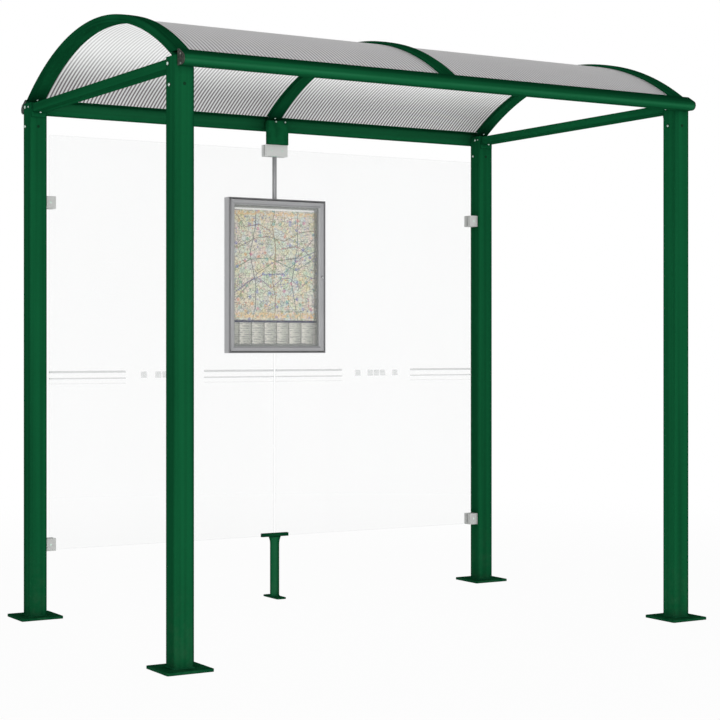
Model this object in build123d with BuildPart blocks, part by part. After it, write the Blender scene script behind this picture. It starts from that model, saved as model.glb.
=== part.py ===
"""Open bus shelter: four posts, a barrel roof on arches, a glass back and a display case.

Millimetres.  The origin is on the floor under the middle of the plan, X runs along the
length, -Y is the open front and +Z is up.
"""
from build123d import *
from math import acos, atan2, degrees
import os

# ---- frame -------------------------------------------------------------------------------
outer_length = 2604.0        # outside of the end posts, along X
outer_depth = 1644.0         # outside of the front and back posts, along Y
post_size = 84.0             # square tube
post_wall = 4.0
post_corner = 6.0            # outside corner radius of the tube
post_head_drop = 18.0        # from the underside of the beam flange down to the post head
base_plate_size = 200.0
base_plate_thickness = 12.0
base_plate_corner = 8.0
anchor_spacing = 150.0       # between the anchor holes of one base plate
anchor_hole_radius = 7.0

# ---- eaves beams -------------------------------------------------------------------------
beam_bottom = 2338.0
beam_height = 64.0
beam_wall = 3.0
beam_nose_radius = 22.0      # round front edge
beam_nose_reach = 60.0       # from the post face to the front of the nose
beam_top_flat = 11.0         # width of the level top outside the post face
beam_lip_thickness = 4.0     # flange along the top that the roof sheets butt against
beam_lip_length = 49.0       # from the post face inwards to the edge of the flange
beam_inset = 15.0            # from the outside of the posts to the end of the beam
beam_cap_thickness = 4.0

# ---- roof --------------------------------------------------------------------------------
roof_rise = 231.0            # of the sheets' undersides, from the flange to the middle
arch_width = 66.0
arch_thickness = 12.0
end_arch_inset = 10.5        # from the outside of the posts to the face of an end arch
middle_arch_x = -10.0        # centre of the middle arch
sheet_thickness = 8.0
cover_web_width = 46.0       # part of a cover between the sheets
cover_rise = 14.0            # how far the covers stand above the sheets
cover_end_gap = 6.0          # from the beam face to the cut end of a cover
sheet_side_gap = 2.0         # between a sheet and the webs at its sides

# ---- side ties ---------------------------------------------------------------------------
tie_width = 60.0
tie_height = 40.0
tie_wall = 3.0
tie_top_drop = 4.0           # from the post head down to the top of the tie
tie_plate_thickness = 6.0    # plates welded on the ends of a tie
tie_plate_height = 64.0
tie_plate_drop = 2.0         # from the post head down to the top of a plate

# ---- glass back --------------------------------------------------------------------------
glass_thickness = 8.0
glass_bottom = 309.0
glass_top_gap = 21.0         # from the foot of the middle hanger down to the panes
glass_end_gap = 26.0         # between a post and the edge of its pane
glass_joint_gap = 12.0       # between the two panes
glass_corner = 6.0
clamp_length = 50.0
clamp_depth = 52.0
clamp_height = 58.0
clamp_corner = 6.0
clamp_fit = 0.3              # each side of the glass in a clamp's slot
upper_clamp_drop = 345.0     # from the top of the panes down to the underside of a clamp
lower_clamp_drop = 3.0       # from the bottom of the panes down to the underside of a clamp
hanger_width = 116.0         # flat tube at the middle of the back
hanger_depth = 30.0
hanger_height = 118.0
hanger_spacer_width = 76.0   # block between the hanger and the beam
hanger_spacer_height = 42.0
middle_clamp_length = 60.0

# ---- foot under the glass joint ----------------------------------------------------------
foot_tube_radius = 23.0
foot_tube_wall = 3.0
foot_collar_radius = 31.0    # at the top of the flared stem
foot_collar_height = 38.0
foot_channel_length = 150.0
foot_channel_wall = 3.5
foot_channel_side = 14.0     # height of the channel's sides above its floor
foot_channel_fit = 0.5       # each side of the glass
foot_plate_width = 52.0
foot_plate_length = 152.0
foot_plate_thickness = 8.0
foot_hole_spacing = 120.0
foot_hole_radius = 5.5

# ---- display case ------------------------------------------------------------------------
case_width = 547.0
case_x = -9.5                # centre of the case and of its rod
case_height = 766.0
case_depth = 50.0
case_wall = 6.0
case_back = 3.0
case_edge = 3.0              # chamfer round the front of the case
door_gap = 4.0               # round the door, and behind it and its lock
door_recess = 2.0            # door face behind the front of the case
door_thickness = 20.0
door_flat = 17.0             # flat width of the door's members
door_bevel = 7.0             # width of the sloping inner edge
door_bevel_depth = 8.0
door_lip = 2.0               # straight edge in front of the window
window_thickness = 4.0
window_rebate = 8.0
window_fit = 0.3
board_thickness = 6.0
poster_width = 490.0
poster_height = 674.0
poster_thickness = 1.0
pin_radius = 3.0
pin_fit = 0.05
pin_length = 14.0            # inside the door
pin_collar_radius = 6.0
pin_collar_gap = 0.3         # between a collar and the door
lock_head_radius = 7.0
lock_head_rise = 1.5
lock_body_radius = 5.0
lock_fit = 0.3
lock_cam_width = 8.0
lock_cam_length = 24.0
lock_cam_thickness = 3.0
rod_length = 215.0           # from the middle clamps down to the case
rod_radius = 11.0
rod_glass_gap = 1.0

# ---- places worked out from the sizes above ----------------------------------------------
half_length = outer_length / 2
half_depth = outer_depth / 2
post_x = half_length - post_size / 2
post_y = half_depth - post_size / 2
end_arch_x = half_length - end_arch_inset - arch_width / 2
beam_top = beam_bottom + beam_height
beam_half = half_length - beam_inset
lip_bottom = beam_top - beam_lip_thickness
lip_y = half_depth - beam_lip_length
post_top = lip_bottom - post_head_drop
sheet_inner_radius = (lip_y**2 + roof_rise**2) / (2 * roof_rise)
sheet_outer_radius = sheet_inner_radius + sheet_thickness
cover_radius = sheet_outer_radius + cover_rise
arch_inner_radius = sheet_inner_radius - arch_thickness
roof_axis_height = lip_bottom + roof_rise - sheet_inner_radius
hanger_bottom = post_top - hanger_height
glass_top = hanger_bottom - glass_top_gap
middle_clamp_bottom = hanger_bottom - clamp_height
upper_clamp_bottom = glass_top - upper_clamp_drop
lower_clamp_bottom = glass_bottom - lower_clamp_drop
glass_y = post_y
glass_front = glass_y - glass_thickness / 2
case_front = glass_front - case_depth
case_top = middle_clamp_bottom - rod_length
case_bottom = case_top - case_height
case_middle = (case_top + case_bottom) / 2
door_front = case_front + door_recess
door_back = door_front + door_thickness
door_width = case_width - 2 * (case_wall + door_gap)
door_height = case_height - 2 * (case_wall + door_gap)
door_member = door_flat + door_bevel
hinge_x = case_x - door_width / 2 + door_thickness / 2
hinge_y = door_front + door_thickness / 2
window_front = door_front + door_bevel_depth + door_lip
lock_x = case_x + door_width / 2 - door_flat / 2
rod_y = glass_front - rod_glass_gap - rod_radius

ends = {"left": -1, "right": 1}
rows = {"front": -1, "back": 1}

os.makedirs("parts", exist_ok=True)


def save(piece, name):
    """Label a finished piece and write it as its own STEP file."""
    piece.label = name
    export_step(piece, f"parts/{name}.step")


# ---- posts and base plates ---------------------------------------------------------------
def make_post(x, y):
    """Square tube, closed at its head."""
    with BuildPart() as post:
        with BuildSketch(Plane.XY.offset(base_plate_thickness)):
            with Locations((x, y)):
                RectangleRounded(post_size, post_size, post_corner)
        extrude(amount=post_top - base_plate_thickness)
        with BuildSketch(Plane.XY.offset(base_plate_thickness)):
            with Locations((x, y)):
                bore = post_size - 2 * post_wall
                RectangleRounded(bore, bore, post_corner - post_wall)
        extrude(amount=post_top - base_plate_thickness - post_wall, mode=Mode.SUBTRACT)
    return post.part


def make_base_plate(x, y):
    """Square anchor plate with four holes."""
    with BuildPart() as plate:
        with BuildSketch():
            with Locations((x, y)):
                RectangleRounded(base_plate_size, base_plate_size, base_plate_corner)
            with Locations((x, y)):
                with GridLocations(anchor_spacing, anchor_spacing, 2, 2):
                    Circle(anchor_hole_radius, mode=Mode.SUBTRACT)
        extrude(amount=base_plate_thickness)
    return plate.part


for row, side_y in rows.items():
    for end, side_x in ends.items():
        save(make_post(side_x * post_x, side_y * post_y), f"post_{row}_{end}")
        save(make_base_plate(side_x * post_x, side_y * post_y), f"base_plate_{row}_{end}")


# ---- eaves beams and their end caps ------------------------------------------------------
def beam_outline():
    """Section of an eaves beam: x outwards from the post face, y up from its underside."""
    nose_x = beam_nose_reach - beam_nose_radius
    from_nose = Vector(beam_top_flat - nose_x, beam_height - beam_nose_radius)
    touch_angle = atan2(from_nose.Y, from_nose.X) - acos(beam_nose_radius / from_nose.length)
    with BuildSketch() as outline:
        with BuildLine():
            Line((0, 0), (nose_x, 0))
            nose = CenterArc((nose_x, beam_nose_radius), beam_nose_radius, -90, 90 + degrees(touch_angle))
            Line(nose @ 1, (beam_top_flat, beam_height))
            Polyline((beam_top_flat, beam_height), (0, beam_height), (0, 0))
        make_face()
    return outline.sketch


def beam_plane(side_y, x):
    """Section plane at x, facing along X, with its own x pointing out of the shelter."""
    return Plane(origin=(x, side_y * half_depth, beam_bottom), x_dir=(0, side_y, 0), z_dir=(side_y, 0, 0))


def make_beam(side_y):
    """Hollow beam on the outer face of its posts, with the flange that the sheets butt on."""
    length = 2 * beam_half
    with BuildPart() as beam:
        with BuildSketch(beam_plane(side_y, -side_y * beam_half)):
            add(beam_outline())
            offset(amount=-beam_wall, mode=Mode.SUBTRACT)
            with Locations((0, beam_height)):
                Rectangle(beam_lip_length, beam_lip_thickness, align=(Align.MAX, Align.MAX))
        extrude(amount=length)
    return beam.part


def make_beam_cap(side_y, side_x):
    """Flat plastic cap over one end of a beam."""
    inner = side_x * beam_half
    outer = side_x * (beam_half + beam_cap_thickness)
    start = inner if side_x == side_y else outer
    with BuildPart() as cap:
        with BuildSketch(beam_plane(side_y, start)):
            add(beam_outline())
        extrude(amount=beam_cap_thickness)
    return cap.part


for row, side_y in rows.items():
    save(make_beam(side_y), f"{row}_beam")
    for end, side_x in ends.items():
        save(make_beam_cap(side_y, side_x), f"{row}_beam_cap_{end}")


# ---- roof --------------------------------------------------------------------------------
def roof_band(inner_radius, outer_radius, half_span):
    """Section of a curved roof piece in the YZ plane, cut off at both eaves."""
    with BuildSketch() as band:
        with Locations((0, roof_axis_height)):
            Circle(outer_radius)
            Circle(inner_radius, mode=Mode.SUBTRACT)
        with Locations((0, roof_axis_height)):
            Rectangle(2 * half_span, outer_radius, align=(Align.CENTER, Align.MIN), mode=Mode.INTERSECT)
    return band.sketch


def make_arch(x, seats):
    """Flat curved bar from beam to beam, notched where it stands on a post head."""
    with BuildPart() as arch:
        with BuildSketch(Plane.YZ.offset(x - arch_width / 2)):
            add(roof_band(arch_inner_radius, sheet_inner_radius, half_depth))
            for side_y in seats:
                with Locations((side_y * post_y, post_top)):
                    Rectangle(post_size, post_size, align=(Align.CENTER, Align.MAX), mode=Mode.SUBTRACT)
        extrude(amount=arch_width)
    return arch.part


def make_cover(x, web_low, web_high):
    """Cover of T section that clamps the sheets on its arch and ends on the beam flanges."""
    layers = [(sheet_inner_radius, sheet_outer_radius, web_low, web_high),
              (sheet_outer_radius, cover_radius, x - arch_width / 2, x + arch_width / 2)]
    with BuildPart() as cover:
        for inner_radius, outer_radius, x_low, x_high in layers:
            with BuildSketch(Plane.YZ.offset(x_low)):
                add(roof_band(inner_radius, outer_radius, half_depth - cover_end_gap))
                for side_y in rows.values():
                    align_y = Align.MIN if side_y > 0 else Align.MAX
                    with Locations((side_y * lip_y, beam_top)):
                        Rectangle(beam_lip_length, beam_height, align=(align_y, Align.MAX), mode=Mode.SUBTRACT)
            extrude(amount=x_high - x_low)
    return cover.part


def make_sheet(x_low, x_high):
    """Curved roofing sheet between two covers, its ends against the beam flanges."""
    with BuildPart() as sheet:
        with BuildSketch(Plane.YZ.offset(x_low)):
            add(roof_band(sheet_inner_radius, sheet_outer_radius, lip_y))
        extrude(amount=x_high - x_low)
    return sheet.part


arch_places = {"left": -end_arch_x, "middle": middle_arch_x, "right": end_arch_x}
web_reach = {"left": (arch_width / 2, cover_web_width / 2), "middle": (cover_web_width / 2, cover_web_width / 2),
             "right": (cover_web_width / 2, arch_width / 2)}
for place, x in arch_places.items():
    reach_low, reach_high = web_reach[place]
    save(make_arch(x, [1] if place == "middle" else [-1, 1]), f"roof_arch_{place}")
    save(make_cover(x, x - reach_low, x + reach_high), f"arch_cover_{place}")

sheet_clear = cover_web_width / 2 + sheet_side_gap
save(make_sheet(-end_arch_x + sheet_clear, middle_arch_x - sheet_clear), "roof_sheet_left")
save(make_sheet(middle_arch_x + sheet_clear, end_arch_x - sheet_clear), "roof_sheet_right")


# ---- side ties ---------------------------------------------------------------------------
def make_tie(x):
    """Rectangular tube between two posts, with a plate welded on each end for the bolts."""
    reach = post_y - post_size / 2
    with BuildPart() as tie:
        with BuildSketch(Plane.XZ.offset(-reach)):
            with Locations((x, post_top - tie_top_drop - tie_height / 2)):
                Rectangle(tie_width, tie_height)
                Rectangle(tie_width - 2 * tie_wall, tie_height - 2 * tie_wall, mode=Mode.SUBTRACT)
        extrude(amount=2 * reach)
        for side_y in rows.values():
            with BuildSketch(Plane.XZ.offset(-side_y * reach)):
                with Locations((x, post_top - tie_plate_drop - tie_plate_height / 2)):
                    Rectangle(post_size - 2 * post_corner, tie_plate_height)
            extrude(amount=side_y * tie_plate_thickness)
    return tie.part


for end, side_x in ends.items():
    save(make_tie(side_x * post_x), f"side_tie_{end}")


# ---- hanger at the middle of the back ----------------------------------------------------
hanger_y = half_depth - post_size + hanger_depth / 2
spacer_depth = post_size - hanger_depth

with BuildPart() as hanger:
    with BuildSketch(Plane.XY.offset(hanger_bottom)):
        with Locations((0, hanger_y)):
            RectangleRounded(hanger_width, hanger_depth, post_corner)
    extrude(amount=post_top - hanger_bottom)
    with BuildSketch(Plane.XY.offset(post_top - hanger_spacer_height)):
        with Locations((0, half_depth)):
            Rectangle(hanger_spacer_width, spacer_depth + post_wall, align=(Align.CENTER, Align.MAX))
    extrude(amount=hanger_spacer_height)
    with BuildSketch(Plane.XY.offset(hanger_bottom + post_wall)):
        with Locations((0, hanger_y)):
            RectangleRounded(hanger_width - 2 * post_wall, hanger_depth - 2 * post_wall, post_corner - post_wall)
    extrude(amount=post_top - hanger_bottom - 2 * post_wall, mode=Mode.SUBTRACT)
save(hanger.part, "middle_hanger")


# ---- glass panes and clamps --------------------------------------------------------------
pane_outer = half_length - post_size - glass_end_gap
pane_inner = glass_joint_gap / 2


def make_pane(side_x):
    """One glass pane of the back wall."""
    with BuildPart() as pane:
        with BuildSketch(Plane.XZ.offset(-glass_front)):
            with Locations((side_x * (pane_outer + pane_inner) / 2, (glass_top + glass_bottom) / 2)):
                RectangleRounded(pane_outer - pane_inner, glass_top - glass_bottom, glass_corner)
        extrude(amount=-glass_thickness)
    return pane.part


def make_clamp(x_wall, side_x, length, bottom, slot_from, slot_bottom, slot_top):
    """Clamp block with a slot for the glass: it runs from x_wall towards side_x."""
    middle = x_wall + side_x * length / 2
    slot_middle = x_wall + side_x * (slot_from + length) / 2
    slot_width = glass_thickness + 2 * clamp_fit
    with BuildPart() as clamp:
        with BuildSketch(Plane.XZ.offset(-glass_y)):
            with Locations((middle, bottom + clamp_height / 2)):
                RectangleRounded(length, clamp_height, clamp_corner)
        extrude(amount=clamp_depth / 2, both=True)
        with BuildSketch(Plane.XZ.offset(-glass_y)):
            with Locations((slot_middle, (slot_bottom + slot_top) / 2)):
                Rectangle(length - slot_from, slot_top - slot_bottom)
        extrude(amount=slot_width / 2, both=True, mode=Mode.SUBTRACT)
    return clamp.part


slot_start = glass_end_gap - clamp_fit
for end, side_x in ends.items():
    save(make_pane(side_x), f"glass_pane_{end}")
    wall_x = side_x * (half_length - post_size)
    save(make_clamp(wall_x, -side_x, clamp_length, upper_clamp_bottom, slot_start,
                    upper_clamp_bottom, upper_clamp_bottom + clamp_height),
         f"glass_clamp_upper_{end}")
    save(make_clamp(wall_x, -side_x, clamp_length, lower_clamp_bottom, slot_start,
                    glass_bottom - clamp_fit, lower_clamp_bottom + clamp_height),
         f"glass_clamp_lower_{end}")
    save(make_clamp(0, side_x, middle_clamp_length, middle_clamp_bottom, pane_inner - clamp_fit,
                    middle_clamp_bottom, glass_top + clamp_fit),
         f"glass_clamp_middle_{end}")


# ---- foot under the glass joint ----------------------------------------------------------
channel_bottom = glass_bottom - foot_channel_wall
channel_inside = glass_thickness + 2 * foot_channel_fit

with BuildPart() as channel:
    with BuildSketch(Plane.YZ.offset(-foot_channel_length / 2)):
        with Locations((glass_y, channel_bottom)):
            Rectangle(channel_inside + 2 * foot_channel_wall, foot_channel_wall + foot_channel_side,
                      align=(Align.CENTER, Align.MIN))
        with Locations((glass_y, glass_bottom)):
            Rectangle(channel_inside, foot_channel_side, align=(Align.CENTER, Align.MIN),
                      mode=Mode.SUBTRACT)
    extrude(amount=foot_channel_length)
save(channel.part, "foot_channel")

flare_start = channel_bottom - foot_collar_height
foot_tube_bore = foot_tube_radius - foot_tube_wall

with BuildPart() as stem:
    with BuildSketch(Plane.XZ.offset(-glass_y)):
        with BuildLine():
            Line((foot_tube_radius, foot_plate_thickness), (foot_tube_radius, flare_start))
            TangentArc((foot_tube_radius, flare_start), (foot_collar_radius, channel_bottom), tangent=(0, 1))
            Polyline((foot_collar_radius, channel_bottom), (0, channel_bottom), (0, flare_start),
                     (foot_tube_bore, flare_start), (foot_tube_bore, foot_plate_thickness),
                     (foot_tube_radius, foot_plate_thickness))
        make_face()
    revolve(axis=Axis((0, glass_y, 0), (0, 0, 1)))
save(stem.part, "foot_stem")

with BuildPart() as foot_plate:
    with BuildSketch():
        with Locations((0, glass_y)):
            RectangleRounded(foot_plate_width, foot_plate_length, base_plate_corner)
        with Locations((0, glass_y)):
            with GridLocations(0, foot_hole_spacing, 1, 2):
                Circle(foot_hole_radius, mode=Mode.SUBTRACT)
    extrude(amount=foot_plate_thickness)
save(foot_plate.part, "foot_base_plate")


# ---- display case ------------------------------------------------------------------------
inside_width = case_width - 2 * case_wall
inside_height = case_height - 2 * case_wall
board_back = glass_front - case_back
pin_reach = door_gap + pin_length
pin_bore_depth = pin_length + pin_collar_gap

with BuildPart() as case_tray:
    with BuildSketch(Plane.XZ.offset(-glass_front)):
        with Locations((case_x, case_middle)):
            Rectangle(case_width, case_height)
    extrude(amount=case_depth)
    chamfer(case_tray.faces().sort_by(Axis.Y)[0].edges(), case_edge)
    with BuildSketch(Plane.XZ.offset(-board_back)):
        with Locations((case_x, case_middle)):
            Rectangle(inside_width, inside_height)
    extrude(amount=case_depth, mode=Mode.SUBTRACT)
    for wall_z, into_door in [(case_middle - inside_height / 2, 1), (case_middle + inside_height / 2, -1)]:
        with BuildSketch(Plane.XY.offset(wall_z)):
            with Locations((hinge_x, hinge_y)):
                Circle(pin_collar_radius)
        extrude(amount=into_door * (door_gap - pin_collar_gap))
        with BuildSketch(Plane.XY.offset(wall_z)):
            with Locations((hinge_x, hinge_y)):
                Circle(pin_radius)
        extrude(amount=into_door * pin_reach)
save(case_tray.part, "case_tray")

with BuildPart() as case_board:
    with BuildSketch(Plane.XZ.offset(-board_back)):
        with Locations((case_x, case_middle)):
            Rectangle(inside_width, inside_height)
    extrude(amount=board_thickness)
save(case_board.part, "case_board")

with BuildPart() as poster:
    with BuildSketch(Plane.XZ.offset(-(board_back - board_thickness))):
        with Locations((case_x, case_middle)):
            Rectangle(poster_width, poster_height)
    extrude(amount=poster_thickness)
save(poster.part, "route_poster")

opening_width = door_width - 2 * door_member
opening_height = door_height - 2 * door_member
rebate_width = opening_width + 2 * window_rebate
rebate_height = opening_height + 2 * window_rebate

with BuildPart() as door_frame:
    with BuildSketch(Plane.XY.offset(case_middle - door_height / 2)):
        with Locations((hinge_x, hinge_y)):
            Circle(door_thickness / 2)
            Rectangle(door_width - door_thickness / 2, door_thickness, align=(Align.MIN, Align.CENTER))
    extrude(amount=door_height)
    with BuildSketch(Plane.XZ.offset(-door_back)):
        with Locations((case_x, case_middle)):
            Rectangle(opening_width, opening_height)
    extrude(amount=door_thickness, mode=Mode.SUBTRACT)
    with BuildSketch(Plane.XZ.offset(-door_front)):
        with Locations((case_x, case_middle)):
            Rectangle(opening_width + 2 * door_bevel, opening_height + 2 * door_bevel)
    with BuildSketch(Plane.XZ.offset(-(door_front + door_bevel_depth))):
        with Locations((case_x, case_middle)):
            Rectangle(opening_width, opening_height)
    loft(mode=Mode.SUBTRACT)
    with BuildSketch(Plane.XZ.offset(-door_back)):
        with Locations((case_x, case_middle)):
            Rectangle(rebate_width, rebate_height)
    extrude(amount=door_back - window_front, mode=Mode.SUBTRACT)
    for edge_z, into_door in [(case_middle - door_height / 2, 1), (case_middle + door_height / 2, -1)]:
        with BuildSketch(Plane.XY.offset(edge_z)):
            with Locations((hinge_x, hinge_y)):
                Circle(pin_radius + pin_fit)
        extrude(amount=into_door * pin_bore_depth, mode=Mode.SUBTRACT)
    with BuildSketch(Plane.XZ.offset(-door_back)):
        with Locations((lock_x, case_middle)):
            Circle(lock_body_radius + lock_fit)
    extrude(amount=door_thickness, mode=Mode.SUBTRACT)
save(door_frame.part, "door_frame")

with BuildPart() as door_window:
    with BuildSketch(Plane.XZ.offset(-window_front)):
        with Locations((case_x, case_middle)):
            Rectangle(rebate_width - 2 * window_fit, rebate_height - 2 * window_fit)
    extrude(amount=-window_thickness)
save(door_window.part, "door_window")

with BuildPart() as door_lock:
    with BuildSketch(Plane.XZ.offset(-door_front)):
        with Locations((lock_x, case_middle)):
            Circle(lock_head_radius)
    extrude(amount=lock_head_rise)
    with BuildSketch(Plane.XZ.offset(-door_front)):
        with Locations((lock_x, case_middle)):
            Circle(lock_body_radius)
    extrude(amount=-door_thickness)
    with BuildSketch(Plane.XZ.offset(-door_back)):
        with Locations((lock_x, case_middle - lock_cam_length / 2 + lock_cam_width / 2)):
            SlotOverall(lock_cam_length, lock_cam_width, rotation=90)
    extrude(amount=-lock_cam_thickness)
save(door_lock.part, "door_lock")

with BuildPart() as rod:
    with BuildSketch(Plane.XY.offset(case_top)):
        with Locations((case_x, rod_y)):
            Circle(rod_radius)
    extrude(amount=rod_length)
save(rod.part, "case_hanger_rod")
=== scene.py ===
"""Bus shelter: green painted frame, ribbed barrel roof, two glass panes and a hanging display case.

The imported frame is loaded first. Every operator dresses one group of its parts, and main() runs
them in order.
"""

import math
import random

import bmesh
import bpy
from bpy.props import FloatProperty, FloatVectorProperty, IntProperty, PointerProperty
from mathutils import Matrix, Vector


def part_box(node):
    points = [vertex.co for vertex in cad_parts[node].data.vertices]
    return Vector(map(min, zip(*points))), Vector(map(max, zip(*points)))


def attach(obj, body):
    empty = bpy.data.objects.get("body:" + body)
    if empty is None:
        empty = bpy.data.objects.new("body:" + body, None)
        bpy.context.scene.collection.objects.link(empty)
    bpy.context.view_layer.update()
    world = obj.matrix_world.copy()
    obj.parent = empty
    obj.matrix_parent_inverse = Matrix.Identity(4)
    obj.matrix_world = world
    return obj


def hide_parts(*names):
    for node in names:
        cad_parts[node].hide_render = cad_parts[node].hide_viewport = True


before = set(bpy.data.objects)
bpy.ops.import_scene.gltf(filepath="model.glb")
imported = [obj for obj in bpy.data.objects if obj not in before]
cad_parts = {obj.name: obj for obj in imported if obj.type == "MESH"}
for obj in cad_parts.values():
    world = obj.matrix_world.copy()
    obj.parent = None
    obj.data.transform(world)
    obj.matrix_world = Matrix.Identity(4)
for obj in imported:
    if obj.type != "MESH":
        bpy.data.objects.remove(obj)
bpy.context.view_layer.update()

bl_info = {
    "name": "Bus Shelter",
    "version": (1, 0, 0),
    "blender": (4, 5, 0),
    "location": "View3D > Sidebar > Shelter",
    "description": "Dresses a bus shelter's frame with paint, sheets, glass, fixings and a display case",
    "category": "Object",
}

MM = 0.001
HAIR = 0.2 * MM  # the gap or the overlap between faces that must not lie in one plane
X, Y, Z = Vector((1.0, 0.0, 0.0)), Vector((0.0, 1.0, 0.0)), Vector((0.0, 0.0, 1.0))
SIDES = {"left": -1.0, "right": 1.0}
ARCHES = ("left", "middle", "right")
ARCH_BAR = 12 * MM  # depth of an arch's flat bar
ARCH_BOLT_HEIGHT = 2.394
SHEET_THICKNESS = 8 * MM
GLASS_PAD = 0.6 * MM  # thickness of the rubber between a clamp and the glass
PLUG_DROP = 109 * MM  # from a post's top down to its blanking plug
TIE_WALL = 42 * MM  # from a side tie's top down to the face that its bolts pass through

# The upper and the lower bolt in a post's sides: millimetres behind its front, and below its top.
POST_BOLTS = {
    "front_left": ((62, 27), (48, 111)), "front_right": ((62, 27), (48, 108)),
    "back_left": ((57, 17), (56, 106)), "back_right": ((38, 19), (56, 104)),
}
CORNER_SCREW = (13, 20)  # the small screw in a back post's sides, in the same way
POSTS = tuple(POST_BOLTS)


# --------------------------------------------------------------------------------------------
# Settings
# --------------------------------------------------------------------------------------------


def colour(name, text, default):
    """A colour that a user may pick."""
    return FloatVectorProperty(
        name=name, description=text, subtype="COLOR", size=3, min=0.0, max=1.0, default=default
    )


def number(name, text, default, **others):
    """A number from nought up that a user may set."""
    return FloatProperty(name=name, description=text, default=default, min=0.0, **others)


def length(name, text, default):
    """A length in metres that a user may set."""
    return number(name, text, default, unit="LENGTH")


def share(name, text, default):
    """A share from nought to one."""
    return number(name, text, default, max=1.0, subtype="FACTOR")


class PaintSettings(bpy.types.PropertyGroup):
    """The powder coat of the steel frame, and the steel fixings in it."""

    green: colour("Green", "Colour of the powder coat", (0.0046, 0.078, 0.0275))
    edge_green: colour("Edge green", "Colour of the coat where it is rubbed", (0.012, 0.115, 0.050))
    # The shade colour is painted shade: it goes into corners, along edges and onto the shaded sides of
    # parts.
    shade: colour("Shade", "Colour of the coat in corners and along edges", (0.0008, 0.022, 0.009))
    # This colour is a painted highlight: it lightens the stem on the camera's side, the belly of the
    # beams' nose and their channel.
    painted_highlight: colour("Washed", "Colour of the coat where rain washes it pale", (0.030, 0.185, 0.085))
    dust: colour("Dust", "Dust that settles low on the posts", (0.22, 0.22, 0.19))
    gloss: share("Gloss", "How smooth the coat is", 0.58)
    mirror: share("Mirror", "How much of the surroundings the coat mirrors", 0.0)
    peel: length("Orange peel", "Size of the coat's fine texture", 2.2 * MM)
    eased_edge: length("Eased edge", "Radius that the coat leaves on a sharp edge", 0.9 * MM)
    weld_leg: length("Weld leg", "Height of a weld bead at a post's foot", 5.0 * MM)
    bolt_head: length("Bolt head", "Diameter of a frame bolt's head", 11.0 * MM)
    plug_width: length("Plug width", "Diameter of the blanking plug in a post's face", 13.0 * MM)


class RoofSettings(bpy.types.PropertyGroup):
    """The ribbed twin-wall sheets, and the covers over the arches."""

    flute: length("Flute", "Distance from one web of the sheet to the next", 17.1 * MM)
    skin: length("Skin", "Thickness of a sheet's upper and lower skin", 0.9 * MM)
    light: colour("Light flute", "Colour of a flute between two webs", (0.67, 0.68, 0.675))
    dark: colour("Dark flute", "Colour of a flute in its own shade", (0.13, 0.11, 0.12))
    # The glow is painted light, emitted by the lower skin of the sheet.
    glow: colour("Glow", "Daylight that a light flute lets through", (0.45, 0.45, 0.45))
    top: colour("Top skin", "Colour of the upper skin", (0.88, 0.87, 0.88))
    dark_share: share("Dark share", "Share of a flute that is dark", 0.46)
    web: length("Cover web", "Width of a cover between the sheets", 46.0 * MM)
    ledge: length("Ledge", "Width of the ledges that carry the sheets", 10.5 * MM)
    screw_gap: length("Screw gap", "Distance between a cover's screws", 0.28)


class GlassSettings(bpy.types.PropertyGroup):
    """The safety glass, its printed band and its clamps."""

    tint: colour("Tint", "Colour of the glass face", (0.62, 0.65, 0.64))
    edge: colour("Edge", "Colour of the polished edge", (0.30, 0.46, 0.41))
    print_grey: colour("Print", "Colour of the printed band", (0.69, 0.70, 0.70))
    upper_line: length("Upper line", "Height of the band's upper line", 1.136)
    lower_line: length("Lower line", "Height of the band's lower line", 1.105)
    faint_line: length("Faint line", "Height of the band's faint line", 1.081)
    band_gap: length("Band gap", "Length of the break at the middle of a pane", 0.415)
    clamp_silver: colour("Clamp", "Colour of the cast clamps", (0.55, 0.56, 0.545))


class CaseSettings(bpy.types.PropertyGroup):
    """The display case, its door and the sheet in it."""

    metal: colour("Metal", "Colour of the satin metal", (0.36, 0.36, 0.37))
    dark_metal: colour("Dark metal", "Colour of the metal's shaded grain", (0.21, 0.21, 0.215))
    # The rim colour is painted shade, laid on the tray's front round the door.
    rim: colour("Rim", "Colour of the case's dark outer rim", (0.125, 0.125, 0.13))
    board: colour("Board", "Colour of the back board", (0.27, 0.28, 0.26))
    paper: colour("Paper", "Ground colour of the printed sheet", (0.82, 0.79, 0.66))
    stripe: colour("Stripe", "Colour of the stripe above the index", (0.006, 0.008, 0.06))
    columns: IntProperty(name="Columns", description="Columns of the index", default=7, min=1)


class StageSettings(bpy.types.PropertyGroup):
    """The studio: floor, lamps and camera."""

    floor: colour("Floor", "Colour of the studio floor", (0.90, 0.90, 0.90))
    ambient: number("Ambient", "Light from the sides", 0.74)
    overhead: number("Overhead", "Light from above", 0.16)
    bounce: share("Bounce", "Light that the floor gives back of its own", 0.40)
    key_power: number("Key", "Power of the main lamp", 320.0)
    fill_power: number("Fill", "Power of the second lamp", 90.0)
    lens: number("Lens", "Focal length in millimetres", 88.4)


class ShelterSettings(bpy.types.PropertyGroup):
    """Everything that a user would change on the shelter."""

    paint: PointerProperty(type=PaintSettings)
    roof: PointerProperty(type=RoofSettings)
    glass: PointerProperty(type=GlassSettings)
    case: PointerProperty(type=CaseSettings)
    stage: PointerProperty(type=StageSettings)


# --------------------------------------------------------------------------------------------
# Shader nodes
# --------------------------------------------------------------------------------------------


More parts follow.
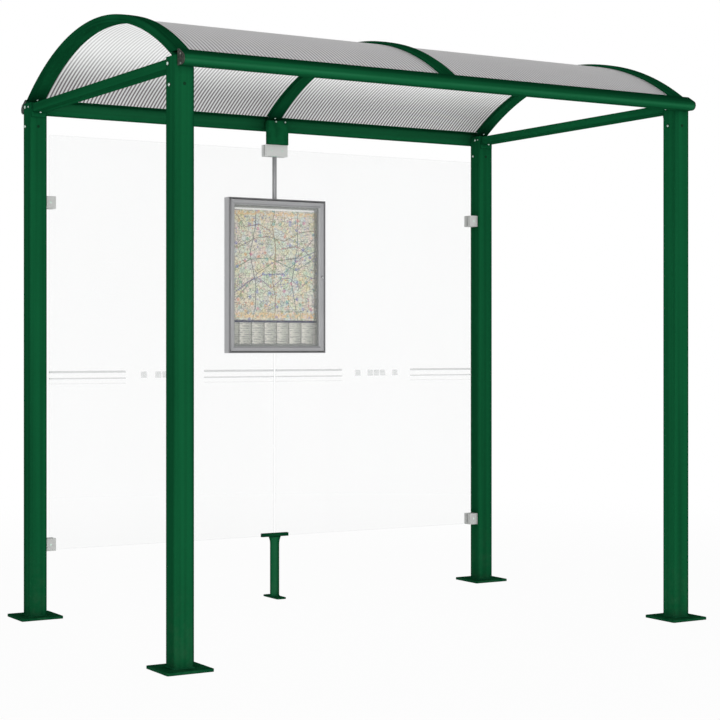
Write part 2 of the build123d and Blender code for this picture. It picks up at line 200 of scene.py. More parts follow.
class Value:
    """A number that changes over a surface: one socket that takes part in plain arithmetic."""

    def __init__(self, nodes, socket):
        self.nodes = nodes
        self.socket = socket

    def __add__(self, other):
        return self.nodes.maths("ADD", self, other)

    __radd__ = __add__

    def __sub__(self, other):
        return self.nodes.maths("SUBTRACT", self, other)

    def __rsub__(self, other):
        return self.nodes.maths("SUBTRACT", other, self)

    def __mul__(self, other):
        return self.nodes.maths("MULTIPLY", self, other)

    __rmul__ = __mul__

    def __truediv__(self, other):
        return self.nodes.maths("DIVIDE", self, other)

    def __mod__(self, other):
        return self.nodes.maths("FLOORED_MODULO", self, other)

    def __gt__(self, other):
        return self.nodes.maths("GREATER_THAN", self, other)

    def __abs__(self):
        return self.nodes.maths("ABSOLUTE", self)


class Nodes:
    """A node tree that is written as plain statements."""

    def __init__(self, tree):
        self.tree = tree

    def node(self, kind, settings=(), sockets=()):
        """Adds a node: its settings come first, then the values or links of its sockets."""
        made = self.tree.nodes.new(kind)
        for name, value in dict(settings).items():
            if name == "stops":
                self.set_stops(made.color_ramp, value)
            else:
                setattr(made, name, value)
        for key, value in dict(sockets).items():
            self.feed(made.inputs[key], value)
        return made

    def set_stops(self, ramp, stops):
        """Gives a ramp its (place, colour) stops."""
        while len(ramp.elements) > 1:
            ramp.elements.remove(ramp.elements[-1])
        ramp.elements[0].position = stops[0][0]
        ramp.elements[0].color = (*stops[0][1], 1.0)
        for place, shade in stops[1:]:
            ramp.elements.new(place).color = (*shade, 1.0)

    def feed(self, socket, value):
        """Links a socket to a value, or sets it to a plain number or colour."""
        if isinstance(value, Value):
            self.tree.links.new(value.socket, socket)
        elif isinstance(value, bpy.types.NodeSocket):
            self.tree.links.new(value, socket)
        elif socket.type == "RGBA":
            socket.default_value = (*tuple(value)[:3], 1.0)
        else:
            socket.default_value = value

    def maths(self, operation, *values):
        """A number worked out from numbers."""
        made = self.node("ShaderNodeMath", {"operation": operation}, enumerate(values))
        return Value(self, made.outputs[0])

    def vector(self, operation, *values):
        """A vector worked out from vectors."""
        made = self.node("ShaderNodeVectorMath", {"operation": operation}, enumerate(values))
        return made.outputs[1 if operation in ("DOT_PRODUCT", "LENGTH") else 0]

    def mix(self, factor, first, second):
        """Two colours, mixed by a factor."""
        sockets = {0: factor, 6: first, 7: second}
        return self.node("ShaderNodeMix", {"data_type": "RGBA"}, sockets).outputs[2]

    def mixed_shader(self, factor, first, second):
        """Two shader nodes, mixed by a factor."""
        sockets = {0: factor, 1: first.outputs[0], 2: second.outputs[0]}
        return self.node("ShaderNodeMixShader", {}, sockets).outputs[0]

    def smooth(self, value, low, high):
        """Nought below low, one above high and a soft step between them."""
        sockets = {0: value, 1: low, 2: high, 3: 0.0, 4: 1.0}
        made = self.node("ShaderNodeMapRange", {"interpolation_type": "SMOOTHSTEP"}, sockets)
        return Value(self, made.outputs[0])

    def least(self, first, second):
        """The smaller of two numbers."""
        return self.maths("MINIMUM", first, second)

    def most(self, first, second):
        """The larger of two numbers."""
        return self.maths("MAXIMUM", first, second)

    def line(self, value, centre, half, soft):
        """One where value is within half of centre, with a soft edge."""
        return 1.0 - self.smooth(abs(value - centre), half - soft, half + soft)

    def white_to_the_eye(self):
        """One for rays that carry the picture: from the camera, a mirror or clear glass."""
        path = self.node("ShaderNodeLightPath").outputs
        camera, glossy, clear = (
            Value(self, path[f"Is {kind} Ray"]) for kind in ("Camera", "Glossy", "Transmission")
        )
        return self.most(self.most(camera, glossy), clear)


class Finish(Nodes):
    """One material: a Principled shader, and the places and textures that feed it."""

    def __init__(self, name):
        self.material = bpy.data.materials.new(name)
        self.material.use_nodes = True
        super().__init__(self.material.node_tree)
        self.shader = self.tree.nodes["Principled BSDF"]
        self.place = self.node("ShaderNodeTexCoord").outputs["Object"]
        split = self.node("ShaderNodeSeparateXYZ", {}, {0: self.place})
        self.x, self.y, self.z = (Value(self, out) for out in split.outputs)
        self.normal = self.node("ShaderNodeNewGeometry").outputs["Normal"]

    def surface(self, **sockets):
        """Sets or links sockets of the shader, by name with _ for a space."""
        for name, value in sockets.items():
            self.feed(self.shader.inputs[name.replace("_", " ")], value)
        return self.material

    def grained(self, shade, grain, rough, relief, **sockets):
        """A surface of one colour whose grain shows in its roughness and, in millimetres, its relief."""
        return self.surface(
            Base_Color=shade,
            Roughness=rough[0] + grain * rough[1],
            Normal=self.bumped(grain, relief[0] * MM, relief[1]),
            **sockets,
        )

    def noise(self, scale, detail=2.0, rough=0.5, at=None):
        """Soft cloudy noise about one half."""
        sockets = {
            "Vector": at or self.place, "Scale": scale, "Detail": detail, "Roughness": rough
        }
        return Value(self, self.node("ShaderNodeTexNoise", {}, sockets).outputs[0])

    def drawn(self, by, detail=2.0, rough=0.5):
        """Noise with a scale of its own along each axis, as a drawn or rolled grain has."""
        return self.noise(1.0, detail, rough, self.vector("MULTIPLY", self.place, by))

    def cells(self, scale, feature="F1", at=None, flat=True):
        """The outputs of a Voronoi node: cells, or the distance to their edges."""
        settings = {"feature": feature, "voronoi_dimensions": "2D" if flat else "3D"}
        sockets = {"Vector": at or self.place, "Scale": scale}
        return self.node("ShaderNodeTexVoronoi", settings, sockets).outputs

    def gloss(self, ior):
        """How much a clear surface mirrors: little face on, and more at a slant."""
        return Value(self, self.node("ShaderNodeFresnel", {}, {"IOR": ior}).outputs[0])

    def toward(self, way):
        """How far the surface faces a way: one straight at it, less than nought away from it."""
        return Value(self, self.vector("DOT_PRODUCT", self.normal, way))

    def edges(self, radius):
        """Nought on a flat face, one along a sharp edge."""
        eased = self.node("ShaderNodeBevel", {"samples": 4}, {"Radius": radius}).outputs[0]
        return self.smooth(1.0 - self.toward(eased), 0.02, 0.22)

    def open_air(self, distance):
        """One out in the open, and nought deep in a corner."""
        sockets = {"Color": (1.0, 1.0, 1.0), "Distance": distance}
        return Value(self, self.node("ShaderNodeAmbientOcclusion", {"samples": 8}, sockets).outputs[1])

    def bumped(self, height, depth, strength=1.0):
        """A normal from a height between nought and one, and the depth that one stands for."""
        sockets = {"Strength": strength, "Distance": depth, "Height": height}
        return self.node("ShaderNodeBump", {}, sockets).outputs[0]


# --------------------------------------------------------------------------------------------
# Finishes
# --------------------------------------------------------------------------------------------

MAKERS = {}
FINISHES = {}


def maker(make):
    """Keeps a function that makes a finish, under its own name."""
    MAKERS[make.__name__] = make
    return make


def finish(name):
    """The finish of that name, made the first time it is asked for."""
    if name not in FINISHES:
        FINISHES[name] = MAKERS[name](Finish(name), bpy.context.scene.shelter)
    return FINISHES[name]


def shaded(shade, by):
    """A colour made lighter or darker."""
    return tuple(min(1.0, part * by) for part in shade)


def rise_in(f, node):
    """The height on a surface: nought at the bottom of a node's box and one at its top."""
    low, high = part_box(node)
    return (f.z - low.z) / (high.z - low.z)


def painted(f, s, grain, painted_shade=0.0, painted_light_tone=1.0):
    """The colour of the satin coat: streaked along the tube, with painted shade in corners and along
    edges.
    """
    paint = s.paint
    # The last argument lightens or darkens a part's whole coat: painted light and shade for that part.
    green = shaded(paint.green, painted_light_tone)
    cloud = f.noise(2.4, 3.0)
    streak = f.smooth(f.drawn(grain), 0.30, 0.70)
    peel = f.noise(1.0 / paint.peel, 2.0)
    speck = f.noise(1400.0, 1.0)
    rub = f.noise(55.0, 4.0, 0.7)
    worn = f.edges(2.0 * MM) * f.smooth(rub, 0.60, 0.76)
    corner = 1.0 - f.open_air(0.035)
    low = (1.0 - f.smooth(f.z, 0.02, 0.40)) * f.smooth(f.noise(26.0, 4.0, 0.65), 0.35, 0.75)
    f.surface(
        Roughness=(1.0 - paint.gloss) + cloud * 0.06 + rub * 0.08 + low * 0.15 + worn * 0.06,
        Normal=f.bumped(peel * 0.8 + speck * 0.2, 0.05 * MM, 0.5),
        Specular_IOR_Level=paint.mirror,
    )
    coat = f.mix(cloud * 0.4 + streak * 0.6, shaded(green, 0.72), shaded(green, 1.30))
    for amount, shade in (
        (f.smooth(rub, 0.35, 0.8) * 0.12, shaded(green, 1.35)),
        # Painted shade in corners, and more where a finish asks for it.
        (f.most(corner * 0.75, painted_shade), paint.shade),
        # Painted shade along edges.
        (f.edges(7.0 * MM) * 0.62, paint.shade),
        (worn * 0.25, paint.edge_green),
        (low * 0.035, paint.dust),
    ):
        coat = f.mix(amount, coat, shade)
    return coat


@maker
def green_paint(f, s):
    """The coat on plates and the hanger."""
    return f.surface(Base_Color=painted(f, s, (26.0, 26.0, 26.0), painted_light_tone=0.94))


@maker
def tie_paint(f, s):
    """The coat on the side ties, streaked along them, and painted lighter as a whole: painted light from
    the floor below.
    """
    return f.surface(Base_Color=painted(f, s, (40.0, 0.35, 40.0), painted_light_tone=1.12))


@maker
def foot_paint(f, s):
    """The coat on the round stem: a painted highlight on the camera's side, and painted shade on the
    other.
    """
    coat = painted(f, s, (40.0, 40.0, 0.35), painted_light_tone=1.10)
    # A fixed way, which is the way to the camera: the front (0, -1, 0) would be the neutral choice.
    front = f.toward((-0.52, -0.85, 0.0))
    # Painted shade away from the camera's side, then a painted highlight towards it.
    coat = f.mix((1.0 - f.smooth(front, 0.10, 0.90)) * 0.50, coat, s.paint.shade)
    return f.surface(Base_Color=f.mix(f.smooth(front, 0.74, 1.0) * 0.24, coat, s.paint.painted_highlight))


@maker
def channel_paint(f, s):
    """The coat on the channel and the plate of the foot, with painted shade over all of it, deepest
    towards their ends.
    """
    ends = f.smooth(abs(f.x), 18 * MM, 44 * MM)
    # Painted shade: a share of 0.30 everywhere, and more towards the ends.
    return f.surface(Base_Color=painted(f, s, (0.35, 40.0, 40.0), 0.30 + ends * 0.38))


@maker
def upright_paint(f, s):
    """The coat on the posts: streaked upwards, with painted shade along the edges far from the camera's
    side.

    The painted shade lies on the right edge of each front and back face, and on the back edge of each
    side.
    """
    coat = painted(f, s, (34.0, 34.0, 0.35), painted_light_tone=0.97)
    low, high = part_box("post_back_right")
    middle, half = (low + high) / 2, (high - low) / 2

    def from_middle(place, centre, reach):
        """The place across a post, from minus one at one side to one at the other."""
        return (place - ((place > 0.0) * 2.0 - 1.0) * centre) / reach

    right = from_middle(f.x, middle.x, half.x)
    back = from_middle(f.y, middle.y, half.y)
    # Painted shade in a band along those edges.
    band = f.most(
        f.smooth(right, 0.66, 0.93) * abs(f.toward(Y)), f.smooth(back, 0.66, 0.93) * abs(f.toward(X))
    )
    return f.surface(Base_Color=f.mix(band * 0.60, coat, s.paint.shade))


@maker
def beam_paint(f, s):
    """The coat on the beams: painted shade along the top of the nose, a painted highlight along its
    belly, and painted light in the channel.
    """
    coat = painted(f, s, (0.35, 40.0, 40.0), painted_light_tone=1.05)
    rise = rise_in(f, "front_beam")
    inward = f.smooth(f.toward(Y) * (f.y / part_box("front_beam")[0].y), 0.3, 0.8)
    nose = 1.0 - inward
    # Painted shade along the top of the nose.
    coat = f.mix(f.smooth(rise, 0.42, 1.0) * nose * 0.62, coat, s.paint.shade)
    drift = f.smooth(f.drawn((1.5, 9.0, 9.0)), 0.1, 0.6)
    # A painted highlight along the belly of the nose.
    belly = f.line(rise, 0.24, 0.07, 0.10) * drift * nose
    coat = f.mix(belly * 0.30, coat, s.paint.painted_highlight)
    # Painted light on the channel's inner face.
    channel = f.line(rise, 0.50, 0.32, 0.08) * inward
    return f.surface(Base_Color=f.mix(channel * 0.12, coat, s.paint.painted_highlight))


@maker
def arch_paint(f, s):
    """The coat on the arches and their covers, painted a little darker as a whole, with painted shade at
    their feet, most at the back beam.
    """
    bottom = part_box("roof_arch_middle")[0].z
    foot = 1.0 - f.smooth(f.z, bottom + 30 * MM, bottom + 125 * MM)
    behind = f.smooth(f.y, 0.2, 0.6)
    # The feet's share goes into the coat as painted shade.
    return f.surface(Base_Color=painted(f, s, (30.0, 3.0, 3.0), foot * (0.30 + behind * 0.60), 0.92))


@maker
def weld_paint(f, s):
    """Powder coat over a weld bead, in clouds of two darker copies of the coat: painted shade in the
    corner where the bead lies.
    """
    paint = s.paint
    coat = f.mix(f.noise(90.0, 3.0), shaded(paint.green, 0.6), shaded(paint.edge_green, 0.7))
    return f.grained(
        coat, f.noise(700.0), (0.40, 0.15), (0.2, 0.5), Specular_IOR_Level=paint.mirror
    )


@maker
def zinc_steel(f, s):
    """Bright zinc on a bolt: faint spangle and dull patches."""
    spangle = Value(f, f.cells(420.0, flat=False)["Distance"])
    haze = f.noise(160.0, 3.0)
    shade = f.mix(spangle, (0.41, 0.55, 0.47), (0.60, 0.75, 0.67))
    shade = f.mix(f.smooth(haze, 0.55, 0.8) * 0.5, shade, (0.28, 0.33, 0.30))
    return f.grained(shade, haze, (0.26, 0.2), (0.05, 0.4), Metallic=1.0)


@maker
def dark_steel(f, s):
    """Blackened steel of washers."""
    haze = f.noise(200.0, 3.0)
    shade = f.mix(haze, (0.010, 0.014, 0.012), (0.030, 0.036, 0.032))
    return f.grained(shade, haze, (0.42, 0.2), (0.05, 0.4), Metallic=0.3)


@maker
def dull_steel(f, s):
    """Dull plated steel of the caps' screws."""
    haze = f.noise(300.0, 3.0)
    shade = f.mix(haze, (0.10, 0.11, 0.10), (0.24, 0.25, 0.23))
    return f.grained(shade, haze, (0.40, 0.2), (0.05, 0.4), Metallic=0.2, Specular_IOR_Level=0.1)


@maker
def dark_rubber(f, s):
    """Matt black rubber of seals and pads."""
    shade = f.mix(f.noise(60.0), (0.012, 0.013, 0.013), (0.035, 0.036, 0.036))
    return f.grained(shade, f.noise(1500.0), (0.62, 0.2), (0.05, 0.6))


@maker
def plug_plastic(f, s):
    """Moulded plug in a deeper green than the coat."""
    green = s.paint.green
    shade = f.mix(f.noise(80.0), shaded(green, 0.32), shaded(green, 0.50))
    return f.grained(shade, f.noise(1200.0), (0.50, 0.2), (0.05, 0.6), Specular_IOR_Level=0.05)


@maker
def cap_plastic(f, s):
    """Moulded dark plastic, mottled and scuffed, with a fine spark-eroded grain."""
    cloud = f.smooth(f.noise(75.0, 3.0, 0.6), 0.38, 0.62)
    shade = f.mix(cloud, (0.008, 0.016, 0.011), (0.058, 0.062, 0.050))
    shade = f.mix(f.edges(1.6 * MM) * 0.35, shade, (0.085, 0.085, 0.07))
    return f.grained(shade, f.noise(1100.0), (0.42, 0.2), (0.08, 0.6), Specular_IOR_Level=0.08)


@maker
def cast_silver(f, s):
    """Satin cast alloy with the fine pits of the casting, darker on the outermost clamps, and lighter on
    the middle ones, with painted light on their end faces.
    """
    silver = s.glass.clamp_silver
    pits = f.noise(520.0, 3.0, 0.65)
    outer_clamp = f.smooth(abs(f.x), 0.3, 0.9)
    end = f.smooth(abs(f.toward(X)), 0.6, 0.9)
    # Painted light: the faces that look along X are made much lighter.
    middle_silver_lit_ends = f.mix(end, shaded(silver, 1.28), shaded(silver, 2.2))
    shade = f.mix(f.smooth(pits, 0.38, 0.62), shaded(silver, 0.66), shaded(silver, 1.18))
    shade = f.mix(0.5 - outer_clamp * 0.5, shade, middle_silver_lit_ends)
    shade = f.mix(outer_clamp * 0.25, shade, shaded(silver, 0.62))
    shade = f.mix(f.noise(70.0, 3.0) * 0.3, shade, shaded(silver, 0.85))
    shade = f.mix(f.edges(1.5 * MM) * 0.5, shade, shaded(silver, 1.3))
    return f.grained(shade, pits, (0.42, 0.18), (0.15, 0.5), Metallic=0.1)


@maker
def case_metal(f, s):
    """Satin anodised extrusion: grain along its length, mitred corners, handled edges, painted shade on
    the rim round the door, and painted light on its sideways faces.
    """
    case = s.case
    low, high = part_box("door_frame")
    middle, half = (low + high) / 2, (high - low) / 2
    across = abs(f.x - middle.x) - half.x
    up = abs(f.z - middle.z) - half.z
    upright = f.smooth(across - up, -1.0 * MM, 1.0 * MM)
    grain_up = f.drawn((900.0, 900.0, 14.0), 3.0, 0.6)
    grain_across = f.drawn((14.0, 900.0, 900.0), 3.0, 0.6)
    grain = grain_across + (grain_up - grain_across) * upright
    front = abs(f.toward(Y))
    mitre = f.line(across - up, 0.0, 0.45 * MM, 0.25 * MM) * front
    rim = f.smooth(f.most(across, up), -1.5 * MM, 0.5 * MM) * f.smooth(front, 0.3, 0.8)
    ends = f.smooth(abs(f.toward(X)), 0.6, 0.9)
    shade = f.mix(grain * 0.5 + f.noise(9.0, 3.0) * 0.3, case.dark_metal, shaded(case.metal, 1.25))
    for amount, laid in (
        # The rim's dark colour is painted shade.
        (f.edges(1.4 * MM) * 0.30, shaded(case.metal, 1.6)), (rim * 0.85, case.rim),
        # The sideways faces are lightened: painted light.
        (ends * 0.5, shaded(case.metal, 1.6)), (mitre * 0.75, (0.05, 0.05, 0.055)),
    ):
        shade = f.mix(amount, shade, laid)
    return f.surface(
        Base_Color=shade,
        Metallic=0.45,
        Roughness=0.36 + grain * 0.18,
        Normal=f.bumped(grain - mitre, 0.06 * MM, 0.5),
    )


@maker
def bead_metal(f, s):
    """The bright glazing bead that holds the door's window."""
    grain = f.drawn((300.0, 900.0, 300.0), 3.0, 0.6)
    shade = f.mix(grain, (0.52, 0.53, 0.53), (0.84, 0.85, 0.84))
    shade = f.mix(f.edges(1.0 * MM) * 0.4, shade, (0.9, 0.9, 0.9))
    return f.grained(shade, grain, (0.34, 0.15), (0.04, 0.5), Metallic=0.2)


@maker
def rod_metal(f, s):
    """Drawn tube in satin grey with grain along its length."""
    case = s.case
    grain = f.drawn((1200.0, 1200.0, 20.0), 3.0, 0.6)
    cloud = grain * 0.6 + f.noise(22.0, 3.0) * 0.3
    shade = f.mix(cloud, shaded(case.dark_metal, 0.9), case.metal)
    return f.grained(shade, grain, (0.38, 0.15), (0.04, 0.5), Metallic=0.4)


@maker
def lock_chrome(f, s):
    """Plated lock: bright, with a dull haze."""
    haze = f.noise(240.0, 3.0)
    shade = f.mix(haze, (0.16, 0.16, 0.165), (0.30, 0.30, 0.30))
    return f.grained(shade, haze, (0.16, 0.16), (0.03, 0.3), Metallic=1.0)


@maker
def board_face(f, s):
    """Painted back board with a fine dust."""
    board = s.case.board
    shade = f.mix(f.noise(12.0, 3.0), shaded(board, 0.8), shaded(board, 1.3))
    return f.grained(shade, f.noise(900.0), (0.55, 0.15), (0.05, 0.5))


def flutes(f, s):
    """The place across a flute: nought at a web, one half way to the next, and back."""
    return 1.0 - abs((f.x / s.roof.flute) % 1.0 - 0.5) * 2.0


@maker
def sheet_lower(f, s):
    """Lower skin of the roof sheet: light and dark flutes in turn, the dark ones webs with painted shade,
    and a painted glow of daylight that grows near the top.
    """
    roof = s.roof
    across = flutes(f, s)
    grain = f.drawn((900.0, 60.0, 60.0))
    # Painted light: towards the top the dark flutes fade and the emitted glow grows, standing in for
    # daylight through the sheet.
    through = f.smooth(rise_in(f, "roof_sheet_left"), 0.25, 0.85)
    wavy = across + (grain - 0.5) * 0.08
    shade = 1.0 - f.smooth(wavy, roof.dark_share - 0.10, roof.dark_share + 0.10)
    shade = shade * (1.0 - through * 0.62)
    light = f.mix(f.noise(5.0), shaded(roof.light, 0.94), roof.light)
    glow = f.mix(through, shaded(roof.glow, 0.30), roof.glow)
    return f.surface(
        Base_Color=f.mix(shade, light, roof.dark),
        Alpha=0.86 + shade * 0.10,
        Roughness=0.32 + grain * 0.14,
        Normal=f.bumped(f.smooth(across, 0.0, 0.5), 0.5 * MM, 0.6),
        # Painted light: the skin glows by emission, though it is no lamp.
        Emission_Color=f.mix(shade, glow, shaded(roof.dark, 0.25)),
        Emission_Strength=1.0,
        Specular_IOR_Level=0.2,
    )


@maker
def sheet_upper(f, s):
    """Upper skin of the roof sheet: even grey with the webs showing faintly through."""
    top = s.roof.top
    across = flutes(f, s)
    near = 1.0 - f.smooth(rise_in(f, "roof_sheet_left"), 0.1, 0.9)
    web = (1.0 - f.smooth(across, 0.20, 0.50)) * (0.35 + near * 0.65)
    fine = f.drawn((700.0, 90.0, 90.0))
    shade = f.mix(f.noise(4.0, 3.0) * 0.5 + fine * 0.3, shaded(top, 0.88), shaded(top, 1.12))
    return f.surface(
        Base_Color=f.mix(web * 0.85, shade, shaded(top, 0.25)),
        Alpha=0.86 + web * 0.1,
        Roughness=0.34 + fine * 0.15,
        Normal=f.bumped(f.smooth(across, 0.0, 0.4), 0.4 * MM, 0.5),
        Specular_IOR_Level=0.12,
    )


@maker
def sheet_webs(f, s):
    """The webs between the two skins."""
    fine = f.noise(400.0)
    return f.surface(
        Base_Color=f.mix(fine, shaded(s.roof.top, 0.8), shaded(s.roof.top, 1.2)),
        Alpha=0.75 + fine * 0.1,
        Roughness=0.35 + fine * 0.1,
    )


@maker
def sheet_tape(f, s):
    """Pale edge profile that closes a sheet's sides."""
    shade = f.mix(f.noise(30.0), (0.60, 0.60, 0.60), (0.78, 0.78, 0.78))
    return f.grained(shade, f.noise(600.0), (0.32, 0.15), (0.05, 0.5), Metallic=0.3)


def rim_of(f):
    """Nought on the faces of an upright pane, and one on its narrow edges."""
    return 1.0 - f.smooth(abs(f.toward(Y)), 0.35, 0.85)


@maker
def safety_glass(f, s):
    """Toughened glass: a breath of grey, a green polished edge and a printed grey band."""
    glass = s.glass
    low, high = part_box("glass_pane_right")
    along = abs(abs(f.x) - (low.x + high.x) / 2)
    soft, square = 0.4 * MM, 15.0 * MM
    outside = f.smooth(along, glass.band_gap / 2, glass.band_gap / 2 + 1.0 * MM)
    upper = f.line(f.z, glass.upper_line, 5.0 * MM, soft)
    lower = f.line(f.z, glass.lower_line, 3.0 * MM, soft)
    faint = f.line(f.z, glass.faint_line, 1.5 * MM, soft)
    row = f.least(
        f.line(f.z, (glass.upper_line + glass.lower_line) / 2, square, soft),
        f.line(abs(along - 0.075), 0.0375, square, soft) + f.line(along, 0.0, square, soft),
    )
    printed = (f.most(upper, lower) * 0.85 + faint * 0.25) * outside + row * 0.55
    rim = rim_of(f)
    smear = f.smooth(f.noise(3.5, 5.0, 0.6, f.vector("MULTIPLY", f.place, (1.0, 1.0, 0.45))), 0.45, 0.75)
    clear = 0.036 + f.smooth(f.z, 0.3, 2.2) * 0.012 + smear * 0.006 + f.gloss(1.5) * 0.12
    return f.surface(
        Base_Color=f.mix(f.least(printed, 1.0), f.mix(rim, glass.tint, glass.edge), glass.print_grey),
        Alpha=f.least(clear + rim * 0.05 + printed * 0.62, 1.0),
        Roughness=0.03 + smear * 0.05 + f.least(printed, 1.0) * 0.4,
        Specular_IOR_Level=0.2,
    )


@maker
def clear_acrylic(f, s):
    """The door's window: nearly clear, with a gloss and faint wiping marks."""
    wipe = f.smooth(f.noise(8.0, 5.0, 0.65, f.vector("MULTIPLY", f.place, (1.0, 1.0, 0.4))), 0.5, 0.8)
    rim = rim_of(f)
    return f.surface(
        Base_Color=f.mix(rim, (0.80, 0.82, 0.82), (0.55, 0.62, 0.60)),
        Alpha=f.least(0.06 + wipe * 0.03 + f.gloss(1.49) * 0.6 + rim * 0.6, 1.0),
        Roughness=0.04 + wipe * 0.08,
        Normal=f.bumped(f.noise(4.0, 1.0), 0.2 * MM, 0.3),
    )


@maker
def poster_paper(f, s):
    """A made-up network map in lively inks, with a stripe and an index of plain strokes below it."""
    case = s.case
    low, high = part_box("route_poster")
    wide, tall = high.x - low.x, high.z - low.z
    u, v = (f.x - low.x) / wide, (f.z - low.z) / tall
    w = v * (tall / wide)
    joined = f.node("ShaderNodeCombineXYZ", {}, {0: u, 1: w, 2: 0.0}).outputs[0]

    def split(colours):
        parts = f.node("ShaderNodeSeparateColor", {}, {0: colours}).outputs
        return [Value(f, part) for part in parts]

    def ramp(value, stops):
        return f.node("ShaderNodeValToRGB", {"stops": stops}, {0: value}).outputs[0]

    def zigzag(value, turns):
        """Nought to one half and back, in straight runs with level tops."""
        return f.least(abs((value * turns) % 1.0 - 0.5), 0.36)

    # Ground: pastel districts and quarters, and a net of brown streets.
    pastel = (
        (0.0, (0.86, 0.76, 0.50)), (0.20, (0.60, 0.80, 0.56)), (0.38, (0.88, 0.62, 0.56)),
        (0.55, (0.86, 0.84, 0.74)), (0.72, (0.52, 0.72, 0.78)), (0.88, (0.84, 0.72, 0.36)),
    )
    sheet = f.mix(0.56, case.paper, ramp(split(f.cells(8.0, at=joined)["Color"])[0], pastel))
    sheet = f.mix(0.40, sheet, ramp(split(f.cells(21.0, at=joined)["Color"])[1], pastel))
    streets = Value(f, f.cells(24.0, "DISTANCE_TO_EDGE", joined)["Distance"])
    sheet = f.mix((1.0 - f.smooth(streets, 0.02, 0.10)) * 0.66, sheet, (0.20, 0.17, 0.15))

    # Short strokes in four directions: how far right and up each way runs, the number of strokes,
    # the place and size of their patches, and how rare they are.
    for right, up, count, patch, reach in (
        (1.0, 0.0, 43.0, 2.0, 0.56), (0.0, 1.0, 47.0, 3.3, 0.54), (0.72, 0.70, 41.0, 2.7, 0.56),
        (0.70, -0.72, 45.0, 3.9, 0.55),
    ):
        across = u * right * count + w * up * count
        broken = f.noise(patch * 6.0, 3.0, 0.6, f.vector("ADD", joined, (patch, -patch, 0.0)))
        stroke = f.line(across % 1.0, 0.5, 0.13, 0.08) * f.smooth(broken, reach, reach + 0.05)
        sheet = f.mix(stroke * 0.74, sheet, (0.09, 0.08, 0.08))

    # Routes that cross the sheet from left to right, and three from the bottom up.
    for start, slope, sway, turns, ink in (
        (0.34, 0.30, 0.16, 1.6, (0.05, 0.07, 0.24)), (0.92, -0.36, 0.22, 2.3, (0.20, 0.08, 0.06)),
        (0.50, 0.06, 0.30, 1.2, (0.05, 0.16, 0.10)), (0.40, 0.02, 0.20, 2.9, (0.20, 0.08, 0.22)),
        (0.70, 0.10, 0.14, 1.9, (0.16, 0.11, 0.05)), (0.30, 0.44, 0.24, 1.4, (0.09, 0.08, 0.08)),
    ):
        route = v - start - u * slope - zigzag(u + start, turns) * sway
        sheet = f.mix(f.line(route, 0.0, 0.0034, 0.0014) * 0.80, sheet, ink)
    for start, sway, turns, ink in (
        (0.22, 0.18, 1.7, (0.08, 0.08, 0.10)), (0.47, 0.12, 2.6, (0.24, 0.12, 0.05)),
        (0.70, 0.20, 1.3, (0.06, 0.13, 0.12)),
    ):
        route = u - start - zigzag(v + start, turns) * sway
        sheet = f.mix(f.line(route, 0.0, 0.0046, 0.0018) * 0.80, sheet, ink)

    # Stops in bright inks, large and small, and an ochre fringe below and above the map.
    inks = (
        (0.0, (0.62, 0.10, 0.30)), (0.2, (0.80, 0.34, 0.04)), (0.40, (0.06, 0.40, 0.38)),
        (0.60, (0.22, 0.28, 0.05)), (0.80, (0.12, 0.14, 0.50)),
    )
    for count, wanted, size, weight in ((13.0, 0.40, 0.24, 0.62), (29.0, 0.55, 0.26, 0.60)):
        stops = f.cells(count, at=joined)
        picked = split(stops["Color"])
        dots = 1.0 - f.smooth(Value(f, stops["Distance"]), size - 0.08, size + 0.04)
        sheet = f.mix(dots * (picked[2] > wanted) * weight, sheet, ramp(picked[0], inks))
    fringe = f.most(f.line(v, 0.210, 0.020, 0.004), f.line(v, 0.962, 0.014, 0.004))
    blobs = f.smooth(f.noise(34.0, at=joined), 0.42, 0.54)
    sheet = f.mix(fringe * blobs * 0.70, sheet, (0.86, 0.56, 0.24))

    # Index: columns of short strokes under a dark stripe, a white top margin, and a painted shadow of the
    # frame along the right edge.
    index_top = 0.165
    column = (u * float(case.columns) + 0.35) % 1.0
    row = (v * 62.0 + f.noise(5.0, at=joined) * 0.7) % 1.0
    word = f.noise(1.0, 1.0, 0.5, f.vector("MULTIPLY", joined, (22.0, 60.0, 1.0)))
    tick = f.line(row, 0.5, 0.26, 0.12) * f.smooth(word, 0.40, 0.56)
    page = f.mix(f.smooth(column, 0.1, 1.0), (0.80, 0.78, 0.70), (0.46, 0.46, 0.40))
    page = f.mix(tick * 0.62, page, (0.14, 0.15, 0.15))
    page = f.mix((1.0 - f.smooth(column, 0.04, 0.10)) * 0.85, page, (0.10, 0.10, 0.09))
    sheet = f.mix(f.smooth(v, index_top - 0.002, index_top), page, sheet)
    sheet = f.mix(f.line(v, index_top, 0.0088, 0.001), sheet, case.stripe)
    sheet = f.mix(f.smooth(v, 0.984, 0.987), sheet, (0.98, 0.98, 0.96))
    # Painted shadow of the frame along the right edge.
    sheet = f.mix(f.smooth(u, 0.955, 0.975) * 0.72, sheet, (0.07, 0.07, 0.06))
    return f.grained(sheet, f.noise(1800.0), (0.42, 0.15), (0.03, 0.4), Specular_IOR_Level=0.2)


# --------------------------------------------------------------------------------------------
# Shapes
# --------------------------------------------------------------------------------------------


def skin(mesh, rows, around=False, material=0):
    """Joins rows of points, each a closed loop, into one surface: a ring, or a form with two ends."""
    rings = [[mesh.verts.new(point) for point in row] for row in rows]
    count = len(rings[0])
    made = []
    for low, high in list(zip(rings, rings[1:])) + ([(rings[-1], rings[0])] if around else []):
        for i in range(count):
            j = (i + 1) % count
            made.append(mesh.faces.new((low[i], low[j], high[j], high[i])))
    if not around:
        made.append(mesh.faces.new(rings[0][::-1]))
        made.append(mesh.faces.new(rings[-1]))
    for face in made:
        face.material_index = material


